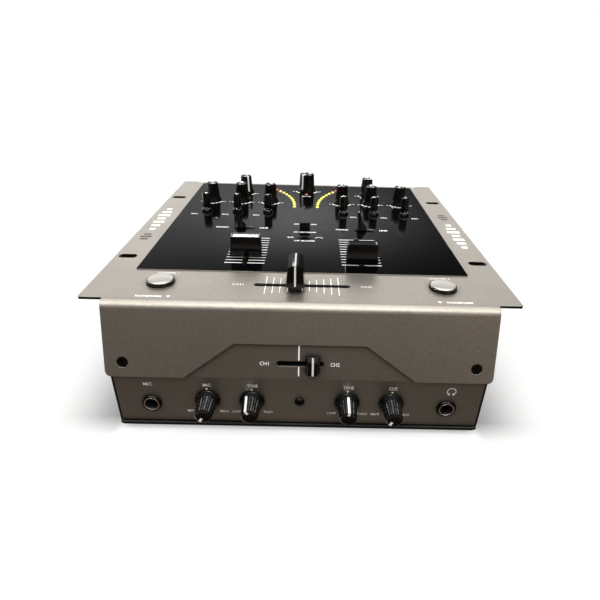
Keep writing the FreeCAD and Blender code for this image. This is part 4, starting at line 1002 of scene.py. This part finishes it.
def plate_print():
    sheet = Print(frame_at(at(0, 0, PRINT_GAP)))
    ticks = [(side * x, y0, y1) for x, y0, y1 in CROSS_TICKS for side in SIDES]
    for x, front_end, back_end in ticks + [(0, 13.2, 25.6)]:
        sheet.bar(x - 0.22, x + 0.22, front_end, CROSS_GAP[0])
        sheet.bar(x - 0.22, x + 0.22, CROSS_GAP[1], back_end)
    for words, x in (("CH1", -38.9), ("CH2", 39.0)):
        sheet.text(words, x, 19.6, width=6.6, height=2.2, bold=0.0)
    for number, channel_x, transform_x, arrow_x in ((1, -84.2, -87.9, -76.3),
                                                    (2, 86.6, 90.9, 79.6)):
        sheet.text("CHANNEL %d" % number, channel_x, 32.9, width=13.2, height=1.9)
        sheet.text("TRANSFORM", transform_x, 2.6, width=15.4, height=1.9, bold=0.04)
        sheet.poly([(arrow_x - 1.3, 3.6), (arrow_x, 1.5), (arrow_x + 1.3, 3.6)])
    for stack in FLANGE_BARS:
        sheet.level_bars(*stack)
    sheet.done("plate_print", [INK_WHITE, INK_BLACK])


def apron_print():
    """Marks on the inner sloped panel, beside the cue fader."""
    sheet = Print(frame_at(on_apron(0, 0, PRINT_GAP - APRON_INSET), *APRON_AXES))
    sheet.bar(-1.2, -0.4, -39.2, -33.4)
    sheet.bar(-1.2, -0.4, -29.4, -20.4)
    for words, x in (("CH1", -20.9), ("CH2", 20.3)):
        sheet.text(words, x, -31.6, width=5.3, height=2.3, bold=0.008)
    sheet.done("apron_print", [INK_WHITE])


FRONT_KNOBS = (-55.4, -28.7, 28.7, 55.4)             # x of the front knobs' dots
FRONT_TITLES = (("MIC", -90.0, 5.3), ("MIC", -55.0, 4.9), ("TONE", -28.0, 6.3),
                ("TONE", 29.0, 6.3), ("CUE", 55.6, 5.0))          # words, x, width
FRONT_ENDS = (("MIN", -66.0), ("MAX", -45.6), ("LOW", -38.6), ("HIGH", -19.0),
              ("LOW", 19.6), ("HIGH", 39.0), ("MIN", 46.3), ("MAX", 65.4))


def front_print():
    """Marks on the lower front panel; y is height above the faceplate's top face."""
    sheet = Print(frame_at((0, PANEL_Y - PRINT_GAP * MM, PLATE_Z), *FRONT_AXES))
    for words, x, width in FRONT_TITLES:
        sheet.text(words, x, -49.6, width, height=2.3, bold=0.010)
    for x in FRONT_KNOBS:
        sheet.disc(x, -52.5, 0.6)
    for words, x in FRONT_ENDS:
        sheet.text(words, x, -69.9, width=4.9, height=1.8, bold=0.006)
    for x in FRONT_KNOBS:
        for side in SIDES:
            sheet.disc(x + side * 7.0, -69.4, 0.42)
    # headphones: a band open at the bottom and two ear pads
    phones_x = 90.6
    sheet.arc(phones_x, -51.1, radius=2.6, start=-128, end=128, width=0.5, steps=24)
    for side in SIDES:
        pad_x = phones_x + side * 1.35
        sheet.bar(pad_x - 0.5, pad_x + 0.5, -53.8, -52.1)
    sheet.done("front_print", [INK_SOFT])


# words, x, y, width, height; x runs towards the mixer's left
REAR_LABELS = (
    ("L", -47.6, -27.0, None, 2.2), ("R", -47.6, -43.0, None, 2.2),
    ("L", 65.6, -27.0, None, 2.2), ("R", 65.6, -43.0, None, 2.2),
    ("GND", 53.0, -44.5, 5.0, 2.0), ("DC IN", -66.0, -46.5, 7.0, 2.0),
    ("POWER", -90.0, -50.5, 8.0, 2.0))
REAR_SOCKETS = (("LINE 2", -40.0), ("PHONO 2", -16.0), ("LINE 1", 8.0), ("PHONO 1", 32.0),
                ("OUT", 74.0), ("REC", 96.0))


def rear_print():
    rear_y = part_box("rear_panel")[1].y
    sheet = Print(frame_at((0, rear_y + PRINT_GAP * MM, PLATE_Z), *REAR_AXES))
    for words, x in REAR_SOCKETS:
        sheet.text(words, x, -52.0, width=min(9.5, 1.7 * len(words)), height=2.0)
    for x0, x1 in ((-46.5, -9.5), (1.5, 38.5), (67.5, 102.5)):
        sheet.bar(x0, x1, -18.6, -18.1)
    for label in REAR_LABELS:
        sheet.text(*label)
    sheet.done("rear_print", [INK_SOFT])


overlay_print()
plate_print()
apron_print()
front_print()
rear_print()

# ---- floor, in metres --------------------------------------------------------------------
FLOOR_LIFT = 0.55            # how far the floor is lifted towards white near the object
FLOOR_HALF, FLOOR_CELLS = 6, 24
CASE_HALF_X = 0.1107         # the pools of shade start here
POOL_REACH = 0.030
SLOT_X, SLOT_HALF_X = 118.4 * MM, 7.2 * MM           # flange slots, either side
SLOT_YS, SLOT_HALF_Y = (57.5, 192.5), 4.0 * MM


def slot_shade_patches(mat, floor_xyz):
    """Painted shade: 1 on the floor behind the four flange slots, as seen from the camera only,
    so the slots look dark.
    """
    geometry = mat.geometry()
    eye = at(*EYE)
    to_eye = mat.vector("SUBTRACT", {0: tuple(eye), 1: geometry["Position"]})[0]
    unit = mat.vector("NORMALIZE", {0: to_eye})[0]
    aim = mat.vector("DOT_PRODUCT", {0: unit, 1: geometry["Incoming"]})["Value"]
    from_eye = mat.math("GREATER_THAN", aim, 0.99995)
    # the floor point carried along its line of sight up to the plate
    share = (eye.z - PLATE_Z) / eye.z
    plate_x, plate_y = (
        mat.math("ADD", start * (1 - share), mat.multiply(floor_xyz[axis], share))
        for start, axis in ((eye.x, "X"), (eye.y, "Y")))

    def within(value, middle, half):
        distance = mat.math("ABSOLUTE", mat.math("SUBTRACT", value, middle))
        return mat.math("LESS_THAN", distance, half)

    in_x = within(mat.math("ABSOLUTE", plate_x), SLOT_X, SLOT_HALF_X)
    in_y = mat.math("MAXIMUM", *(within(plate_y, at(0, y).y, SLOT_HALF_Y) for y in SLOT_YS))
    return mat.multiply(from_eye, mat.multiply(in_x, in_y))


def floor_material():
    mat = Material("floor_pale")
    cloud = mat.remap(mat.noise(scale=3), (0.3, 0.7))
    pale = mat.mix(cloud, (0.90, 0.90, 0.90), (0.93, 0.93, 0.93))
    distance = mat.vector("LENGTH", {0: mat.coord})["Value"]
    floor_xyz = mat.split(mat.coord)
    # soft pools of shade beside the case, under the flanges
    beyond = mat.math("SUBTRACT", mat.math("ABSOLUTE", floor_xyz["X"]), CASE_HALF_X)
    beside = mat.math("DIVIDE", mat.math("MAXIMUM", beyond, 0.0), POOL_REACH)
    pool = mat.math("EXPONENT", mat.multiply(beside, beside, -1.0))
    outer = mat.remap(beside, (0.0, 0.15))
    near_y = mat.math("ADD", floor_xyz["Y"], mat.multiply(outer, 0.006))
    pool = mat.multiply(pool, mat.remap(near_y, (-0.132, -0.115), to=(0.0, 0.62)),
                        mat.remap(floor_xyz["Y"], (0.05, 0.135), to=(1.0, 0.0)))
    # painted shade: the pools beside the case and dark patches behind the flange slots
    shade = mat.math("MAXIMUM", pool, slot_shade_patches(mat, floor_xyz))
    unshaded = mat.math("SUBTRACT", 1.0, shade)
    mat.set(Base_Color=mat.mix(shade, pale, (0.0, 0.0, 0.0)),
            Roughness=0.9, Specular_IOR_Level=0.1)
    # the floor turns to plain white far away and in front of the mixer
    white = mat.node("Emission", {"Color": (1, 1, 1), "Strength": mat.multiply(unshaded, 1.02)})
    ahead = mat.remap(near_y, (-0.119, -0.137), to=(0.0, 0.95))
    far = mat.remap(distance, (0.16, 0.75), to=(FLOOR_LIFT, 1.0))
    surface = mat.node("MixShader", {"Fac": mat.math("MAXIMUM", far, ahead),
                                     1: mat.bsdf.outputs["BSDF"], 2: white.outputs[0]})
    mat.feed(mat.output.inputs["Surface"], surface.outputs[0])
    return mat


def make_floor():
    marks = [-FLOOR_HALF + 2 * FLOOR_HALF * i / FLOOR_CELLS for i in range(FLOOR_CELLS + 1)]
    row = FLOOR_CELLS + 1
    corners = [i * row + j for i in range(FLOOR_CELLS) for j in range(FLOOR_CELLS)]
    floor = make_object("floor", [(x, y, 0.0) for x in marks for y in marks],
                        [(a, a + row, a + row + 1, a + 1) for a in corners],
                        [floor_material()])
    floor.visible_glossy = False
    floor.visible_diffuse = False


make_floor()


# ---- lights, in metres and watts ---------------------------------------------------------
def area(name, place, target, size, power, colour=(1.0, 1.0, 1.0), size_y=None):
    light = bpy.data.lights.new(name, "AREA")
    light.energy, light.color, light.size = power, colour, size
    if size_y:
        light.shape, light.size_y = "RECTANGLE", size_y
    obj = bpy.data.objects.new(name, light)
    scene.collection.objects.link(obj)
    obj.location = place
    obj.rotation_mode = "QUATERNION"
    obj.rotation_quaternion = (Vector(target) - Vector(place)).to_track_quat("-Z", "Y")
    return obj


def light_group(name, objects):
    group = bpy.data.collections.new(name)
    for obj in objects:
        group.objects.link(obj)
    return group


def spare(light, objects):
    """Keeps a light off some objects, as a flag on a light stand does."""
    group = light_group(light.name + "_flag", objects)
    for member in group.collection_objects:
        member.light_linking.link_state = "EXCLUDE"
    light.light_linking.receiver_collection = group


def only(light, objects, clear=False):
    """Lights these objects alone; with clear, nothing else stands in the light's way."""
    group = light_group(light.name + "_aim", objects)
    light.light_linking.receiver_collection = group
    if clear:
        light.light_linking.blocker_collection = group


def made_of(*materials):
    wanted = [material.data for material in materials]
    return [obj for obj in bpy.data.objects
            if obj.type == "MESH" and obj.data.materials and obj.data.materials[0] in wanted]


black = made_of(KNOB, CAP, ZINC)
unlit = [nodes["fascia_overlay"]] + made_of(KNOB, CAP)
not_faders = [obj for obj in black if "fader" not in obj.name]
top_box = area("top_softbox", place=(0.0, -0.30, 1.25), target=(0, -0.30, 0), size=2.2,
               power=30, colour=(1.0, 0.99, 0.975), size_y=1.9)
back_box = area("back_softbox", place=(0.0, 1.5, 0.75), target=(0, 0, 0.05), size=3.2,
                power=13, colour=(1.0, 0.985, 0.965), size_y=0.7)
area("front_fill", place=(0.95, -1.15, 0.42), target=(0, -0.1, 0.03), size=0.8,
     power=1.1, colour=(1.0, 0.83, 0.62))
kicker = area("kicker", place=(-0.25, 0.85, 0.95), target=(0, 0.0, 0.09), size=0.22, power=36)
kicker_right = area("kicker_right", place=(0.22, 0.85, 0.95), target=(0, 0.0, 0.09),
                    size=0.22, power=28)
fold = area("fold_strip", place=(0.0, -0.64, 1.0), target=(0, -0.12, 0.08), size=2.0,
            power=7, colour=(1.0, 0.985, 0.95), size_y=0.30)
only(fold, [nodes["top_cover"]])
spare(back_box, unlit)
spare(top_box, unlit)
only(kicker, not_faders)
only(kicker_right,
     [obj for obj in not_faders if "right" in obj.name or obj.name.startswith("master")])
gleam = area("fader_gleam", place=(-0.25, 0.85, 0.95), target=(0, 0.0, 0.09), size=0.5, power=6)
only(gleam, [obj for obj in black if "fader" in obj.name])
streaks = area("knob_streaks", place=(0.03, 0.43, 1.09), target=(0, -0.137, 0.03), size=0.26,
               power=12)
only(streaks, [obj for obj in black if obj.name.startswith(("mic_", "phones_"))], clear=True)
reflector = area("cap_reflector", place=(-0.246, 1.331, 0.64),
                 target=(-0.039, -0.0535, 0.0996), size=0.20, power=2.2)
only(reflector, [obj for obj in black if obj.name.startswith("line_fader")])

# ---- world -------------------------------------------------------------------------------
# upward part of the direction (-1 down, 1 up), colour
FRONT_STOPS = (
    (-1.0, (0.50, 0.47, 0.43)), (-0.88, (0.42, 0.38, 0.33)), (-0.74, (0.085, 0.066, 0.052)),
    (-0.3, (0.080, 0.060, 0.046)), (0.0, (0.095, 0.070, 0.050)), (0.35, (0.12, 0.10, 0.08)),
    (1.0, (0.5, 0.5, 0.5)))
BACK_STOPS = (
    (-1.0, (0.10, 0.10, 0.10)), (0.0, (0.04, 0.04, 0.04)), (0.2, (0.045, 0.045, 0.045)),
    (0.42, (0.012, 0.012, 0.012)), (0.6, (0.10, 0.10, 0.10)), (1.0, (0.5, 0.5, 0.5)))


def height_ramp(sky, height, stops):
    ramp = sky.node("ValToRGB", {"Fac": sky.remap(height, (-1.0, 1.0))})
    elements = ramp.color_ramp.elements
    while len(elements) < len(stops):
        elements.new(0.5)
    for i, (position, colour) in enumerate(stops):
        elements[i].position = (position + 1.0) / 2.0
        elements[i].color = (*colour, 1)
    return ramp.outputs["Color"]


def back_glow(sky, direction):
    """A soft spot low behind the mixer."""
    def offset_squared(axis, centre, spread):
        offset = sky.math("DIVIDE", sky.math("SUBTRACT", direction[axis], centre), spread)
        return sky.multiply(offset, offset)

    squares = sky.math("ADD", offset_squared("Z", centre=0.334, spread=0.058),
                       offset_squared("X", centre=-0.02, spread=0.20))
    spot = sky.math("EXPONENT", sky.multiply(squares, -1.0), 0.0)
    return sky.multiply(spot, sky.math("GREATER_THAN", direction["Y"], 0.0), 0.68)


def left_glow(sky, direction):
    """Light behind the mixer that grows to the left and downwards."""
    fall = sky.math("DIVIDE", sky.math("SUBTRACT", 0.52, direction["Z"]), 0.2)
    fall = sky.math("MAXIMUM", fall, 0.0)
    leftward = sky.math("MAXIMUM", sky.multiply(direction["X"], -1.0), 0.0)
    behind = sky.multiply(sky.math("GREATER_THAN", direction["Y"], 0.0), 0.70)
    return sky.multiply(leftward, fall, behind)


def make_world():
    """A dark room, warm in front of the mixer; the camera itself sees plain white."""
    world = bpy.data.worlds.new("studio")
    scene.world = world
    world.use_nodes = True
    sky = Graph(world.node_tree)
    direction = sky.split(sky.node("TexCoord").outputs["Generated"])
    room = sky.mix(sky.remap(direction["Y"], (-0.15, 0.25)),
                   height_ramp(sky, direction["Z"], FRONT_STOPS),
                   height_ramp(sky, direction["Z"], BACK_STOPS))
    total = sky.math("ADD", back_glow(sky, direction), left_glow(sky, direction))
    soft = sky.node("CombineColor", {0: total, 1: total, 2: total}).outputs[0]
    lit = sky.node("Background", {"Color": sky.mix(1.0, room, soft, blend="ADD"),
                                  "Strength": 1.0})
    plain = sky.node("Background", {"Color": (1, 1, 1), "Strength": 1.0})
    camera_ray = sky.node("LightPath").outputs["Is Camera Ray"]
    shader = sky.node("MixShader", {"Fac": camera_ray, 1: lit.outputs[0], 2: plain.outputs[0]})
    sky.node("OutputWorld", {"Surface": shader.outputs[0]})


make_world()
scene.view_settings.view_transform = "Standard"
scene.view_settings.look = "None"

# ---- camera ------------------------------------------------------------------------------
PITCH, YAW, ROLL = (math.radians(angle) for angle in (29.591, 0.603, 1.566))
SENSOR_WIDTH, LENS_LENGTH = 36.0, 27.2412
SHIFT_X, SHIFT_Y = -0.02051667, 0.002966667          # shares of the frame's width


def make_camera():
    data = bpy.data.cameras.new("camera")
    camera = bpy.data.objects.new("camera", data)
    scene.collection.objects.link(camera)
    # rows: the camera's right, down and forward directions
    view = (Matrix.Rotation(ROLL, 3, "Z") @ Matrix.Rotation(PITCH + math.pi / 2, 3, "X")
            @ Matrix.Rotation(YAW, 3, "Z"))
    camera.matrix_world = frame_at(at(*EYE), view[0].copy(), -view[1].copy(), -view[2].copy())
    data.sensor_width = SENSOR_WIDTH
    data.lens = LENS_LENGTH
    data.shift_x, data.shift_y = SHIFT_X, SHIFT_Y
    data.clip_start, data.clip_end = 0.01, 50
    scene.camera = camera


make_camera()
